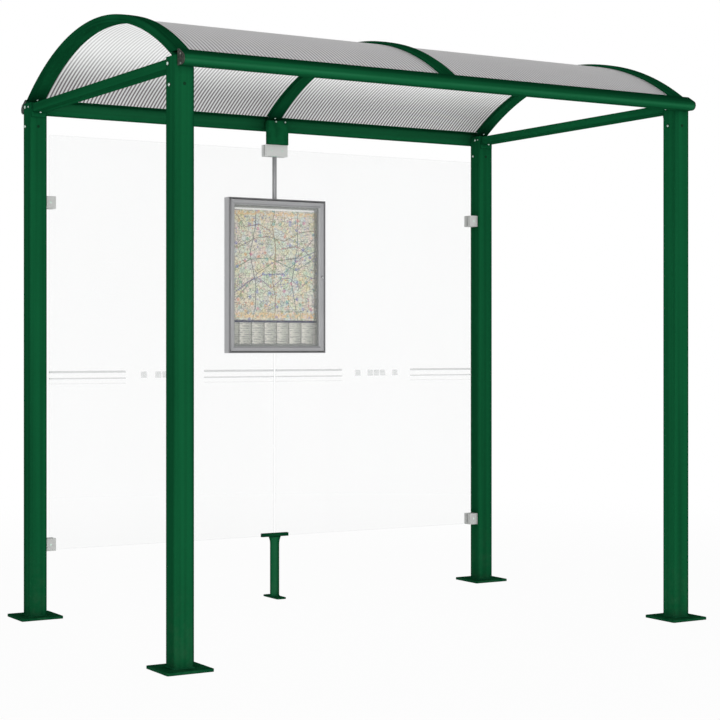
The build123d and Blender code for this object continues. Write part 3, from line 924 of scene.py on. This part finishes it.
def rectangle(left, right, bottom, top):
    """The corners of a rectangle, in turn."""
    return [(left, bottom), (right, bottom), (right, top), (left, top)]


def block(mesh, outline, bottom, top, material=0):
    """An outline seen from above, drawn upwards."""
    rows = [[Vector((x, y, z)) for x, y in outline] for z in (bottom, top)]
    skin(mesh, rows, material=material)


def soft_rectangle(width, height, corner, steps=4):
    """A rectangle about the origin with round corners."""
    points = []
    for right, up, start in ((1, 1, 0), (-1, 1, 90), (-1, -1, 180), (1, -1, 270)):
        for i in range(steps + 1):
            turn = math.radians(start + 90.0 * i / steps)
            points.append((
                right * (width / 2 - corner) + corner * math.cos(turn),
                up * (height / 2 - corner) + corner * math.sin(turn),
            ))
    return points


def facing(place, way):
    """A matrix at a place whose Z looks along a direction."""
    turn = Vector(way).to_track_quat("Z", "Y").to_matrix().to_4x4()
    return Matrix.Translation(Vector(place)) @ turn


def turned(mesh, profile, where, steps=24, material=0):
    """A turned form: rows of (radius, height), and a third value True where the row is a hexagon."""
    rows = []
    for radius, height, *six in profile:
        row = []
        for i in range(steps):
            angle = math.tau * i / steps
            reach = radius / math.cos(angle % (math.pi / 3) - math.pi / 6) if six else radius
            row.append(where @ Vector((reach * math.cos(angle), reach * math.sin(angle), height)))
        rows.append(row)
    skin(mesh, rows, material=material)


def in_mm(profile):
    """A turned form's profile, given in millimetres."""
    return [(radius * MM, height * MM, *six) for radius, height, *six in profile]


def dome_bolt(mesh, place, way, head):
    """A dome-headed bolt with a hexagon socket, on a washer: the first material is the washer's."""
    r, w = head / 2, head * 0.66
    base = 1.4 * MM
    where = facing(place, way)
    turned(mesh, [(w, 0), (w, 0.9 * MM), (w - 0.5 * MM, base), (r * 0.6, base)], where)
    turned(
        mesh,
        [
            (r, base), (r, base + 0.9 * MM), (r * 0.95, base + 2.0 * MM), (r * 0.80, base + 3.2 * MM),
            (r * 0.58, base + 4.0 * MM), (r * 0.42, base + 4.2 * MM), (r * 0.36, base + 4.1 * MM, True),
            (r * 0.34, base + 1.8 * MM, True), (r * 0.05, base + 1.6 * MM),
        ],
        where, material=1,
    )


def flat_screw(mesh, place, way, head, material):
    """A countersunk screw with a hexagon socket, its rim a hair proud."""
    r, proud = head / 2, 0.3 * MM
    turned(
        mesh,
        [
            (r * 0.7, -1.0 * MM), (r, -0.1 * MM), (r, proud * 0.6), (r * 0.94, proud),
            (r * 0.42, proud), (r * 0.38, proud - 0.1 * MM, True), (r * 0.36, -1.2 * MM, True),
            (r * 0.05, -1.3 * MM),
        ],
        facing(place, way), steps=18, material=material,
    )


def rippled(leg, step, every):
    """The size of a weld bead at a step of its path, with a ripple every few steps."""
    return leg * (0.88 + 0.12 * math.sin(step * math.tau / every))


def weld(mesh, path, section, up=1.0):
    """A weld bead round a closed path of (place, way out, size)."""
    rows = []
    for place, out, size in path:
        rows.append([place + out * size * away + Z * (up * size * rise) for away, rise in section])
    skin(mesh, rows, around=True)


def cut(mesh, place, way):
    """Cuts away what lies beyond a plane, and closes the cut."""
    parts = list(mesh.verts) + list(mesh.edges) + list(mesh.faces)
    done = bmesh.ops.bisect_plane(
        mesh, geom=parts, plane_co=place, plane_no=way, clear_outer=True, dist=1e-6
    )
    loose = [item for item in done["geom_cut"] if isinstance(item, bmesh.types.BMEdge)]
    bmesh.ops.holes_fill(mesh, edges=loose)


def roof_arc():
    """The centre height and the inner radius of the roof sheet, from its box."""
    low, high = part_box("roof_sheet_left")
    rise = high.z - SHEET_THICKNESS - low.z
    radius = (high.y ** 2 + rise ** 2) / (2 * rise)
    return high.z - SHEET_THICKNESS - radius, radius


def on_arc(x, turn, radius, centre):
    """A point of the roof, by its turn from the top and its radius."""
    return Vector((x, radius * math.sin(turn), centre + radius * math.cos(turn)))


def along_arc(section, reach, count, centre, step=1):
    """Rows of points: a section of (x, radius) points, carried round the roof from -reach to reach."""
    turns = [reach * (2 * i / count - 1) for i in range(0, count + 1, step)]
    return [[on_arc(x, turn, radius, centre) for x, radius in section] for turn in turns]


def ease(made, width):
    """Rounds the sharp edges of an object by a small radius."""
    bevel = made.modifiers.new("eased_edges", "BEVEL")
    bevel.width = width
    bevel.segments = 2
    bevel.limit_method = "ANGLE"
    bevel.angle_limit = math.radians(38.0)
    bevel.harden_normals = True


def dress(node, wanted, eased=0.0):
    """Gives a node of the frame its finish, and eases its edges."""
    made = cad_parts[node]
    for place in made.material_slots:
        place.material = finish(wanted)
    if eased:
        joined = made.modifiers.new("joined_points", "WELD")
        joined.merge_threshold = 0.01 * MM
        flat = made.modifiers.new("joined_faces", "DECIMATE")
        flat.decimate_type = "DISSOLVE"
        flat.angle_limit = math.radians(0.4)
        ease(made, eased)


def linked(name, mesh):
    """A new object in the scene with the faces of a bmesh, which ends here."""
    data = bpy.data.meshes.new(name)
    mesh.to_mesh(data)
    mesh.free()
    made = bpy.data.objects.new(name, data)
    bpy.context.scene.collection.objects.link(made)
    return made


def piece(name, mesh, finishes, body="shelter", stands_for=(), eased=0.0, smooth=40.0):
    """Turns a bmesh into a piece of the shelter that rides on a body."""
    bmesh.ops.recalc_face_normals(mesh, faces=mesh.faces)
    made = linked(name, mesh)
    for wanted in finishes:
        made.data.materials.append(finish(wanted))
    made.data.shade_smooth()
    made.data.set_sharp_from_angle(angle=math.radians(smooth))
    if eased:
        ease(made, eased)
    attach(made, body)
    if stands_for:
        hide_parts(*stands_for)


def bolts(name, places, heads="zinc_steel"):
    """A piece that is a set of dome bolts, each a place, a way and a diameter."""
    mesh = bmesh.new()
    for place, way, head in places:
        dome_bolt(mesh, place, way, head)
    piece(name, mesh, ["dark_steel", heads])


# --------------------------------------------------------------------------------------------
# Operators
# --------------------------------------------------------------------------------------------


class SHELTER_OT_stage(bpy.types.Operator):
    """Sets up the studio: floor, soft lamps, white surroundings and the camera"""

    bl_idname = "shelter.stage"
    bl_label = "Studio"

    def execute(self, context):
        settings = context.scene.shelter.stage
        context.scene.view_settings.view_transform = "Standard"
        self.floor(settings)
        self.world(context, settings)
        self.lamp("key_lamp", (-4.2, -7.1, 1.8), settings.key_power)
        self.lamp("fill_lamp", (5.5, -6.0, 1.6), settings.fill_power)
        self.camera(context, settings)
        return {"FINISHED"}

    def floor(self, settings):
        """A wide pale floor that fades to white far from the shelter."""
        mesh = bmesh.new()
        bmesh.ops.create_circle(mesh, cap_ends=True, segments=96, radius=40.0)
        made = linked("studio_floor", mesh)
        f = Finish("studio_floor")
        pale = f.surface(Base_Color=settings.floor, Roughness=0.9, Specular_IOR_Level=0.2)
        glow = f.node("ShaderNodeEmission", {}, {"Color": (1.0, 1.0, 1.0), "Strength": 1.0})
        away = f.smooth(Value(f, f.vector("LENGTH", f.place)), 2.0, 7.0)
        factor = f.most(f.white_to_the_eye() * (0.96 + away * 0.04), settings.bounce)
        output = f.tree.nodes["Material Output"]
        f.feed(output.inputs["Surface"], f.mixed_shader(factor, f.shader, glow))
        made.data.materials.append(pale)

    def world(self, context, settings):
        """Even light from all round, plain white to the eye."""
        world = bpy.data.worlds.new("studio_world")
        context.scene.world = world
        world.use_nodes = True
        nodes = Nodes(world.node_tree)
        world.node_tree.nodes.clear()
        way = nodes.node("ShaderNodeTexCoord").outputs["Generated"]
        height = Value(nodes, nodes.node("ShaderNodeSeparateXYZ", {}, {0: way}).outputs[2])
        above = nodes.smooth(height, 0.0, 0.9)
        level = settings.ambient - above * (settings.ambient - settings.overhead)
        lit, white = (
            nodes.node("ShaderNodeBackground", {}, {0: (1.0, 1.0, 1.0), 1: strength})
            for strength in (level, 1.0)
        )
        mixed = nodes.mixed_shader(nodes.white_to_the_eye(), lit, white)
        nodes.node("ShaderNodeOutputWorld", {}, {0: mixed})

    def lamp(self, name, place, power):
        """A large soft lamp that looks at the middle of the shelter."""
        data = bpy.data.lights.new(name, "AREA")
        data.shape = "DISK"
        data.size = 4.0
        data.energy = power
        made = bpy.data.objects.new(name, data)
        made.location = place
        made.rotation_euler = (Z * 1.3 - Vector(place)).to_track_quat("-Z", "Y").to_euler()
        bpy.context.scene.collection.objects.link(made)

    def camera(self, context, settings):
        """The camera, level at chest height and turned 31 degrees from the front."""
        data = bpy.data.cameras.new("camera")
        data.sensor_width = 36.0
        data.lens = settings.lens
        data.shift_y = -0.0189
        data.clip_end = 200.0
        made = bpy.data.objects.new("camera", data)
        made.location = (-4.2106, -7.0116, 1.2560)
        made.rotation_euler = (math.radians(90.0), 0.0, math.radians(-31.151))
        context.scene.collection.objects.link(made)
        context.scene.camera = made


class SHELTER_OT_frame(bpy.types.Operator):
    """Paints the posts, plates, beams, arches, ties and hanger"""

    bl_idname = "shelter.frame"
    bl_label = "Painted frame"

    def execute(self, context):
        coats = {"middle_hanger": "green_paint", "front_beam": "beam_paint", "back_beam": "beam_paint"}
        for where in POSTS:
            coats[f"post_{where}"] = "upright_paint"
            coats[f"base_plate_{where}"] = "green_paint"
        for side in SIDES:
            coats[f"side_tie_{side}"] = "tie_paint"
        for where in ARCHES:
            coats[f"roof_arch_{where}"] = "arch_paint"
        for node, coat in coats.items():
            dress(node, coat, context.scene.shelter.paint.eased_edge)
        return {"FINISHED"}


class SHELTER_OT_welds(bpy.types.Operator):
    """Runs a weld bead round the foot of each post"""

    bl_idname = "shelter.welds"
    bl_label = "Weld beads"

    # Points round the bead: shares of its size, out from the tube and up from the plate.
    section = ((-0.12, -0.12), (1.0, -0.05), (0.86, 0.34), (0.62, 0.62), (0.34, 0.86), (-0.05, 1.0))
    corner = 6 * MM
    step = 1.6 * MM

    def execute(self, context):
        for where in POSTS:
            low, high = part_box(f"post_{where}")
            middle = Vector(((low.x + high.x) / 2, (low.y + high.y) / 2, low.z))
            path = self.path(middle, high.x - low.x, context.scene.shelter.paint.weld_leg)
            mesh = bmesh.new()
            weld(mesh, path, self.section)
            piece(f"weld_{where}", mesh, ["weld_paint"], smooth=70.0)
        return {"FINISHED"}

    def path(self, middle, width, leg):
        """The places round a square tube with the way out and the bead's rippled size at each."""
        rng = random.Random(round(middle.x * 1000) + round(middle.y * 7000))
        corners = [Vector((*point, 0.0)) for point in soft_rectangle(width, width, self.corner)]
        round_it = []
        for i, start in enumerate(corners):
            run = corners[(i + 1) % len(corners)] - start
            steps = max(1, round(run.length / self.step))
            round_it += [start + run * (step / steps) for step in range(steps)]
        path = []
        for i, place in enumerate(round_it):
            along = (round_it[(i + 1) % len(round_it)] - round_it[i - 1]).normalized()
            size = rippled(leg, i, 3.0) + leg * rng.uniform(-0.05, 0.05)
            path.append((middle + place, Vector((along.y, -along.x, 0.0)), size))
        return path


class SHELTER_OT_beam_caps(bpy.types.Operator):
    """Finishes the end caps of both beams and their screws"""

    bl_idname = "shelter.beam_caps"
    bl_label = "Beam caps"

    # The screws: out from the post's face, down from the cap's top, up from its bottom, diameter.
    out, down, up, head = 33 * MM, 22.5 * MM, 4.5 * MM, 7.5 * MM

    def execute(self, context):
        for row, forward in (("front", -1.0), ("back", 1.0)):
            for side, way in SIDES.items():
                node = f"{row}_beam_cap_{side}"
                dress(node, "cap_plastic", 0.8 * MM)
                low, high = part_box(node)
                face = high.x if way > 0 else low.x
                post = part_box(f"post_{row}_{side}")
                y = post[0 if row == "front" else 1].y + forward * self.out
                heights = (high.z - self.down, low.z + self.up)
                screws = [((face, y, height), X * way, self.head) for height in heights]
                bolts(f"cap_screws_{row}_{side}", screws, "dull_steel")
        return {"FINISHED"}


class SHELTER_OT_arch_covers(bpy.types.Operator):
    """Makes the clip-on covers over the three arches with their screws, and the sheets' ledges"""

    bl_idname = "shelter.arch_covers"
    bl_label = "Arch covers"

    # A cover's ribbed top: millimetres in from its side, and down from its crown.
    ribs = ((0.0, 4.2), (0.8, 2.4), (2.4, 1.2), (10.0, 0.6), (11.0, 1.6), (12.0, 0.5))
    # A cover's screw: its radius and height in millimetres, and True where it is a hexagon.
    screw = ((4.6, 0), (4.4, 0.5), (3.2, 0.9), (1.7, 1.05), (1.5, 1.0, True), (1.4, 0.3, True))

    def execute(self, context):
        roof = context.scene.shelter.roof
        for where in ARCHES:
            self.cover(where, roof)
            self.ledges(where, roof.ledge)
        return {"FINISHED"}

    def cover(self, where, roof):
        """A cover whose web fills the gap between the sheets, with a row of screws along its crown."""
        centre, radius = roof_arc()
        low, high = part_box(f"arch_cover_{where}")
        middle, half = (low.x + high.x) / 2, (high.x - low.x) / 2
        top = high.z - centre
        under = radius + SHEET_THICKNESS + HAIR
        left = -half if where == "left" else -roof.web / 2
        right = half if where == "right" else roof.web / 2
        ribs = [(half - back * MM, top - drop * MM) for back, drop in self.ribs]
        section = [
            (left, radius), (right, radius), (right, under), (half, under), *ribs, (0.0, top),
            *[(-x, height) for x, height in reversed(ribs)], (-half, under), (left, under),
        ]
        section = [(middle + x, height) for x, height in section]
        section = [point for i, point in enumerate(section) if point != section[i - 1]]
        mesh = bmesh.new()
        skin(mesh, along_arc(section, math.asin((high.y + 40 * MM) / radius), 72, centre))
        for place, way in ((Z * low.z, -Z), (Y * low.y, -Y), (Y * high.y, Y)):
            cut(mesh, place, way)
        run = math.asin(high.y / radius) * radius * 0.92
        count = max(1, round(run / roof.screw_gap))
        for i in range(-count, count + 1):
            turn = run / radius * i / (count + 0.15)
            where_to = facing(
                on_arc(middle, turn, top - 1.1 * MM, centre), on_arc(0.0, turn, 1.0, 0.0)
            )
            turned(mesh, in_mm(self.screw), where_to, steps=18)
        piece(
            f"cover_{where}", mesh, ["arch_paint"],
            stands_for=[f"arch_cover_{where}"], smooth=32.0,
        )

    def ledges(self, where, width):
        """The slim ledges on an arch's sides that carry the edges of the roof sheets."""
        centre, radius = roof_arc()
        low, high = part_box(f"roof_arch_{where}")
        reach = math.asin((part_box("roof_sheet_left")[1].y - 8 * MM) / radius)
        mesh = bmesh.new()
        for face, way, at_end in ((low.x, -1.0, "left"), (high.x, 1.0, "right")):
            if where == at_end:
                continue
            root, tip = face - way * HAIR, face + way * width
            section = [
                (root, radius - HAIR), (root, radius - 3.2 * MM),
                (tip - way * 1.2 * MM, radius - 2.6 * MM), (tip, radius - 1.8 * MM), (tip, radius - HAIR),
            ]
            skin(mesh, along_arc(section, reach, 60, centre))
        piece(f"sheet_ledges_{where}", mesh, ["arch_paint"], smooth=32.0)


class SHELTER_OT_roof_sheets(bpy.types.Operator):
    """Makes the twin-wall roof sheets: two skins, the webs between them and their edge profiles"""

    bl_idname = "shelter.roof_sheets"
    bl_label = "Roof sheets"

    def execute(self, context):
        centre, inner = roof_arc()
        roof = context.scene.shelter.roof
        outer = inner + SHEET_THICKNESS
        tape, thin = 2.2 * MM, roof.skin / 2
        for side in SIDES:
            node = f"roof_sheet_{side}"
            low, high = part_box(node)
            left, right = low.x + tape, high.x - tape
            parts = [
                (rectangle(left, right, inner, inner + roof.skin), 0, 1),
                (rectangle(left, right, outer - roof.skin, outer), 1, 1),
            ]
            first, last = math.ceil((left + thin) / roof.flute), math.floor((right - thin) / roof.flute)
            for x in (web * roof.flute for web in range(first, last + 1)):
                bottom, top = inner + roof.skin + HAIR, outer - roof.skin - HAIR
                parts.append((rectangle(x - thin, x + thin, bottom, top), 2, 2))
            for start, end in ((low.x, left - HAIR), (right + HAIR, high.x)):
                parts.append((rectangle(start, end, inner, outer), 3, 1))
            mesh = bmesh.new()
            for section, material, step in parts:
                rows = along_arc(section, math.asin(high.y / outer), 56, centre, step)
                skin(mesh, rows, material=material)
            cut(mesh, Y * low.y, -Y)
            cut(mesh, Y * high.y, Y)
            piece(
                f"ribbed_sheet_{side}", mesh, ["sheet_lower", "sheet_upper", "sheet_webs", "sheet_tape"],
                stands_for=[node], smooth=30.0,
            )
        return {"FINISHED"}


class SHELTER_OT_glass(bpy.types.Operator):
    """Makes the glass panes with polished edges and the printed band"""

    bl_idname = "shelter.glass"
    bl_label = "Glass panes"

    def execute(self, context):
        ground = 1.2 * MM  # width of the ground and polished edge
        for side in SIDES:
            node = f"glass_pane_{side}"
            low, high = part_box(node)
            middle, size = (low + high) / 2, high - low
            outer = soft_rectangle(size.x, size.z, 6 * MM, 5)
            inner = soft_rectangle(size.x - 2 * ground, size.z - 2 * ground, 6 * MM - ground, 5)
            rows = []
            for outline, y in (
                (inner, low.y), (outer, low.y + ground), (outer, high.y - ground), (inner, high.y)
            ):
                rows.append([Vector((middle.x + x, y, middle.z + z)) for x, z in outline])
            mesh = bmesh.new()
            skin(mesh, rows)
            piece(
                f"pane_{side}", mesh, ["safety_glass"], stands_for=[node], smooth=20.0
            )
        return {"FINISHED"}


class SHELTER_OT_clamps(bpy.types.Operator):
    """Makes the cast clamps that hold the glass: two jaws, rubber pads and a screw"""

    bl_idname = "shelter.clamps"
    bl_label = "Glass clamps"

    gap = 1.5 * MM  # round the glass's edge, and round the pads
    pad_start = 7.0 * MM  # from a clamp's end on the glass to its pads
    screw = 9 * MM

    def execute(self, context):
        for side, way in SIDES.items():
            for level in ("upper", "lower", "middle"):
                self.clamp(level, side, way)
        return {"FINISHED"}

    def clamp(self, level, side, way):
        """One clamp, open towards the pane that it holds."""
        node = f"glass_clamp_{level}_{side}"
        low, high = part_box(node)
        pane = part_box(f"glass_pane_{side}")
        inner, outer = (low.x, high.x) if way > 0 else (high.x, low.x)
        front, back = pane[0].y - GLASS_PAD, pane[1].y + GLASS_PAD
        mesh = bmesh.new()
        if level == "middle":
            pad_end = 3.0 * MM
            for near, far in ((low.y, front), (back, high.y)):
                block(mesh, rectangle(inner, outer, near, far), low.z, high.z)
        else:
            pad_end = 25.0 * MM
            stop = (pane[1].x if way > 0 else pane[0].x) + way * self.gap
            outline = [
                (inner, low.y), (outer, low.y), (outer, high.y), (inner, high.y),
                (inner, back), (stop, back), (stop, front), (inner, front),
            ]
            block(mesh, outline, low.z, high.z)
        left, right = sorted((inner + way * self.pad_start, outer - way * pad_end))
        for near, far in ((front, pane[0].y), (pane[1].y, back)):
            block(mesh, rectangle(left, right, near, far), low.z + self.gap, high.z - self.gap, 1)
        middle = (low + high) / 2
        flat_screw(mesh, (middle.x, low.y, middle.z), -Y, self.screw, 2)
        flat_screw(mesh, (middle.x, high.y, middle.z), Y, self.screw, 2)
        piece(
            f"clamp_{level}_{side}", mesh, ["cast_silver", "dark_rubber", "zinc_steel"],
            stands_for=[node], eased=1.2 * MM,
        )


class SHELTER_OT_fixings(bpy.types.Operator):
    """Sets the frame's bolts, washers and blanking plugs"""

    bl_idname = "shelter.fixings"
    bl_label = "Bolts and plugs"

    tie_inset = 26 * MM  # from a tie's end to its bolt
    hanger_bolts = (-15.5 * MM, 36.5 * MM)  # across, from the hanger's middle
    hanger_drop = 5.5 * MM

    def execute(self, context):
        paint = context.scene.shelter.paint
        for where in POSTS:
            self.post(where, paint.bolt_head)
            self.plug(where, paint.plug_width / 2)
        for side in SIDES:
            self.tie(side, paint.bolt_head * 0.9)
        for where in ARCHES:
            self.arch_feet(where, paint.bolt_head * 0.9)
        self.hanger(paint.bolt_head * 0.85)
        return {"FINISHED"}

    def post(self, where, head):
        """Two bolts in each side of a post, and a small screw at a back post's corner."""
        low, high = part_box(f"post_{where}")
        wanted = list(zip(POST_BOLTS[where], (1.18, 1.10)))
        if where.startswith("back"):
            wanted.append((CORNER_SCREW, 0.7))
        bolts(f"post_bolts_{where}", [
            ((face, low.y + behind * MM, high.z - drop * MM), X * way, head * size)
            for way, face in ((-1, low.x), (1, high.x)) for (behind, drop), size in wanted
        ])

    def plug(self, where, r):
        """The blanking plug in a post's front."""
        low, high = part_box(f"post_{where}")
        mesh = bmesh.new()
        turned(
            mesh,
            [(r, 0), (r, 0.5 * MM), (r * 0.86, 0.9 * MM), (r * 0.7, 0.7 * MM), (r * 0.2, 0.9 * MM)],
            facing(((low.x + high.x) / 2, low.y, high.z - PLUG_DROP), -Y),
        )
        piece(f"post_plug_{where}", mesh, ["plug_plastic"])

    def tie(self, side, head):
        """A bolt in the tie's underside near each end."""
        low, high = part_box(f"side_tie_{side}")
        bolts(f"tie_bolts_{side}", [
            (((low.x + high.x) / 2, y, high.z - TIE_WALL), -Z, head)
            for y in (low.y + self.tie_inset, high.y - self.tie_inset)
        ])

    def arch_feet(self, where, head):
        """A bolt in the arch's underside just over each beam."""
        centre, radius = roof_arc()
        low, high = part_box(f"roof_arch_{where}")
        height = ARCH_BOLT_HEIGHT - centre
        reach = math.sqrt((radius - ARCH_BAR) ** 2 - height ** 2)
        bolts(f"arch_bolts_{where}", [
            (((low.x + high.x) / 2, y, ARCH_BOLT_HEIGHT), (0.0, -y, -height), head)
            for y in (-reach, reach)
        ])

    def hanger(self, head):
        """Two bolts in the front of the stub post that hangs from the back beam."""
        low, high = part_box("middle_hanger")
        bolts("hanger_bolts", [
            (((low.x + high.x) / 2 + across, low.y, high.z - self.hanger_drop), -Y, head)
            for across in self.hanger_bolts
        ])


class SHELTER_OT_middle_foot(bpy.types.Operator):
    """Finishes the foot that holds the panes where they meet"""

    bl_idname = "shelter.middle_foot"
    bl_label = "Middle foot"

    section = ((-0.15, -0.1), (1.0, -0.05), (0.8, 0.45), (0.45, 0.8), (-0.05, 1.0))
    neck = 23 * MM  # radius of the stem where it meets its plates
    leg = 4.0 * MM
    steps = 96  # points round a weld
    rubber_gap = 2.0 * MM  # from the channel's outside to its seal
    rubber_inset = 3 * MM

    def execute(self, context):
        dress("foot_channel", "channel_paint", 0.7 * MM)
        dress("foot_base_plate", "channel_paint", 0.7 * MM)
        dress("foot_stem", "foot_paint")
        self.welds()
        self.seal()
        return {"FINISHED"}

    def welds(self):
        """A rippled weld round each end of the stem."""
        low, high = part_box("foot_stem")
        middle = (low + high) / 2
        mesh = bmesh.new()
        for height, up in ((low.z, 1.0), (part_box("foot_channel")[0].z, -1.0)):
            path = []
            for i in range(self.steps):
                angle = math.tau * i / self.steps
                out = Vector((math.cos(angle), math.sin(angle), 0.0))
                place = Vector((middle.x, middle.y, height)) + out * self.neck
                path.append((place, out, rippled(self.leg, i, 4.0)))
            weld(mesh, path, self.section, up)
        piece("foot_welds", mesh, ["weld_paint"], smooth=70.0)

    def seal(self):
        """The rubber on both sides of the glass in the channel."""
        low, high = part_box("foot_channel")
        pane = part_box("glass_pane_left")
        mesh = bmesh.new()
        for near, far in (
            (low.y + self.rubber_gap, pane[0].y - HAIR), (pane[1].y + HAIR, high.y - self.rubber_gap)
        ):
            outline = rectangle(low.x + self.rubber_inset, high.x - self.rubber_inset, near, far)
            block(mesh, outline, pane[0].z, high.z + 0.6 * MM)
        piece("foot_seal", mesh, ["dark_rubber"], eased=0.4 * MM)


class SHELTER_OT_display_case(bpy.types.Operator):
    """Finishes the display case, the sheet in it and the rod that it hangs from"""

    bl_idname = "shelter.display_case"
    bl_label = "Display case"

    washer = ((12.2, 0), (15.0, 0), (15.0, 1.2), (14.4, 1.8), (11.6, 1.8))

    def execute(self, context):
        dress("case_tray", "case_metal", 0.2 * MM)
        dress("case_board", "board_face")
        dress("case_hanger_rod", "rod_metal", 0.5 * MM)
        self.sheet()
        self.washers()
        return {"FINISHED"}

    def sheet(self):
        """The printed sheet's two faces, with the slight wave that paper takes in a case."""
        low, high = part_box("route_poster")
        across, up, thick = 24, 36, 0.25 * MM
        mesh = bmesh.new()
        for back in (0.0, thick):
            grid = []
            for j in range(up + 1):
                for i in range(across + 1):
                    s, t = i / across, j / up
                    wave = 0.16 * math.sin(s * 7.0 + t * 3.0) + 0.12 * math.sin(t * 11.0 - s * 2.0)
                    grid.append(mesh.verts.new((
                        low.x + (high.x - low.x) * s, low.y + (0.35 + wave) * MM + back,
                        low.z + (high.z - low.z) * t,
                    )))
            for j in range(up):
                for i in range(across):
                    first = j * (across + 1) + i
                    after = first + across + 1
                    mesh.faces.new((grid[first], grid[first + 1], grid[after + 1], grid[after]))
        piece(
            "printed_sheet", mesh, ["poster_paper"], stands_for=["route_poster"]
        )

    def washers(self):
        """A washer under the clamps and one on the case, where the rod is made fast."""
        low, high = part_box("case_hanger_rod")
        middle = (low + high) / 2
        mesh = bmesh.new()
        for height, way in ((low.z, Z), (high.z, -Z)):
            turned(mesh, in_mm(self.washer), facing((middle.x, middle.y, height), way), steps=32)
        piece("rod_washers", mesh, ["zinc_steel"])


class SHELTER_OT_display_door(bpy.types.Operator):
    """Finishes the case's door: frame, window, seal and lock"""

    bl_idname = "shelter.display_door"
    bl_label = "Display door"

    # Sections round the window: millimetres out from its edge, and back from its front.
    seal = ((-9.0, -0.9), (-10.0, -0.6), (-10.0, -0.1), (-9.0, -0.1))
    bead = ((-6.2, -1.5), (-7.2, -1.9), (-8.2, -1.7), (-8.9, -1.0), (-8.9, -0.1), (-6.2, -0.1))
    rosette = ((7.2, 0), (9.0, 0), (9.0, 0.3), (8.5, 0.6), (7.2, 0.6))

    def execute(self, context):
        dress("door_frame", "case_metal", 0.5 * MM)
        dress("door_window", "clear_acrylic", 0.3 * MM)
        dress("door_lock", "lock_chrome", 0.3 * MM)
        self.surround("window_seal", self.seal, "dark_rubber", "beam_cap_plastic")
        self.surround("window_bead", self.bead, "bead_metal", "case_metal")
        self.key_slot()
        return {"FINISHED"}

    def surround(self, name, section, wanted, slot):
        """A strip round the window between it and its frame, mitred at the corners."""
        low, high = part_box("door_window")
        middle, half = (low + high) / 2, (high - low) / 2
        rows = []
        for right, up in ((1, 1), (-1, 1), (-1, -1), (1, -1)):
            rows.append([
                Vector((
                    middle.x + right * (half.x + out * MM), low.y + back * MM,
                    middle.z + up * (half.z + out * MM),
                ))
                for out, back in section
            ])
        mesh = bmesh.new()
        skin(mesh, rows, around=True)
        piece(name, mesh, [wanted], "display_door", smooth=50.0)

    def key_slot(self):
        """A rosette round the lock, and the dark slot for its key."""
        low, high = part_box("door_lock")
        middle = (low + high) / 2
        where = facing((middle.x, low.y, middle.z), -Y)
        outline = soft_rectangle(1.6 * MM, 6.4 * MM, 0.7 * MM, 3)
        slot = bmesh.new()
        skin(slot, [[where @ Vector((x, y, z)) for x, y in outline] for z in (-0.3 * MM, 0.08 * MM)])
        piece("key_slot", slot, ["dark_rubber"], "display_door")
        ring = bmesh.new()
        where = facing((middle.x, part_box("door_frame")[0].y, middle.z), -Y)
        turned(ring, in_mm(self.rosette), where, steps=32)
        piece("lock_rosette", ring, ["lock_chrome"], "display_door")


class SHELTER_PT_panel(bpy.types.Panel):
    """Lists the steps that dress the shelter, and the settings that they use"""

    bl_idname = "SHELTER_PT_panel"
    bl_label = "Bus Shelter"
    bl_space_type = "VIEW_3D"
    bl_region_type = "UI"
    bl_category = "Shelter"

    def draw(self, context):
        layout = self.layout
        for operator in OPERATORS:
            layout.operator(operator.bl_idname)
        for group in ShelterSettings.__annotations__:
            box = layout.box()
            box.label(text=group.capitalize())
            settings = getattr(context.scene.shelter, group)
            for name in settings.__annotations__:
                box.prop(settings, name)


OPERATORS = (
    SHELTER_OT_stage,
    SHELTER_OT_frame,
    SHELTER_OT_welds,
    SHELTER_OT_beam_caps,
    SHELTER_OT_arch_covers,
    SHELTER_OT_roof_sheets,
    SHELTER_OT_glass,
    SHELTER_OT_clamps,
    SHELTER_OT_fixings,
    SHELTER_OT_middle_foot,
    SHELTER_OT_display_case,
    SHELTER_OT_display_door,
)
CLASSES = (
    PaintSettings,
    RoofSettings,
    GlassSettings,
    CaseSettings,
    StageSettings,
    ShelterSettings,
    *OPERATORS,
    SHELTER_PT_panel,
)


def register():
    """Adds the settings, the operators and the panel to Blender."""
    for item in CLASSES:
        bpy.utils.register_class(item)
    bpy.types.Scene.shelter = PointerProperty(type=ShelterSettings)


def unregister():
    """Takes them away again."""
    del bpy.types.Scene.shelter
    for item in reversed(CLASSES):
        bpy.utils.unregister_class(item)


def main():
    """Dresses the shelter."""
    register()
    for operator in OPERATORS:
        group, name = operator.bl_idname.split(".")
        getattr(getattr(bpy.ops, group), name)()


if __name__ == "__main__":
    main()
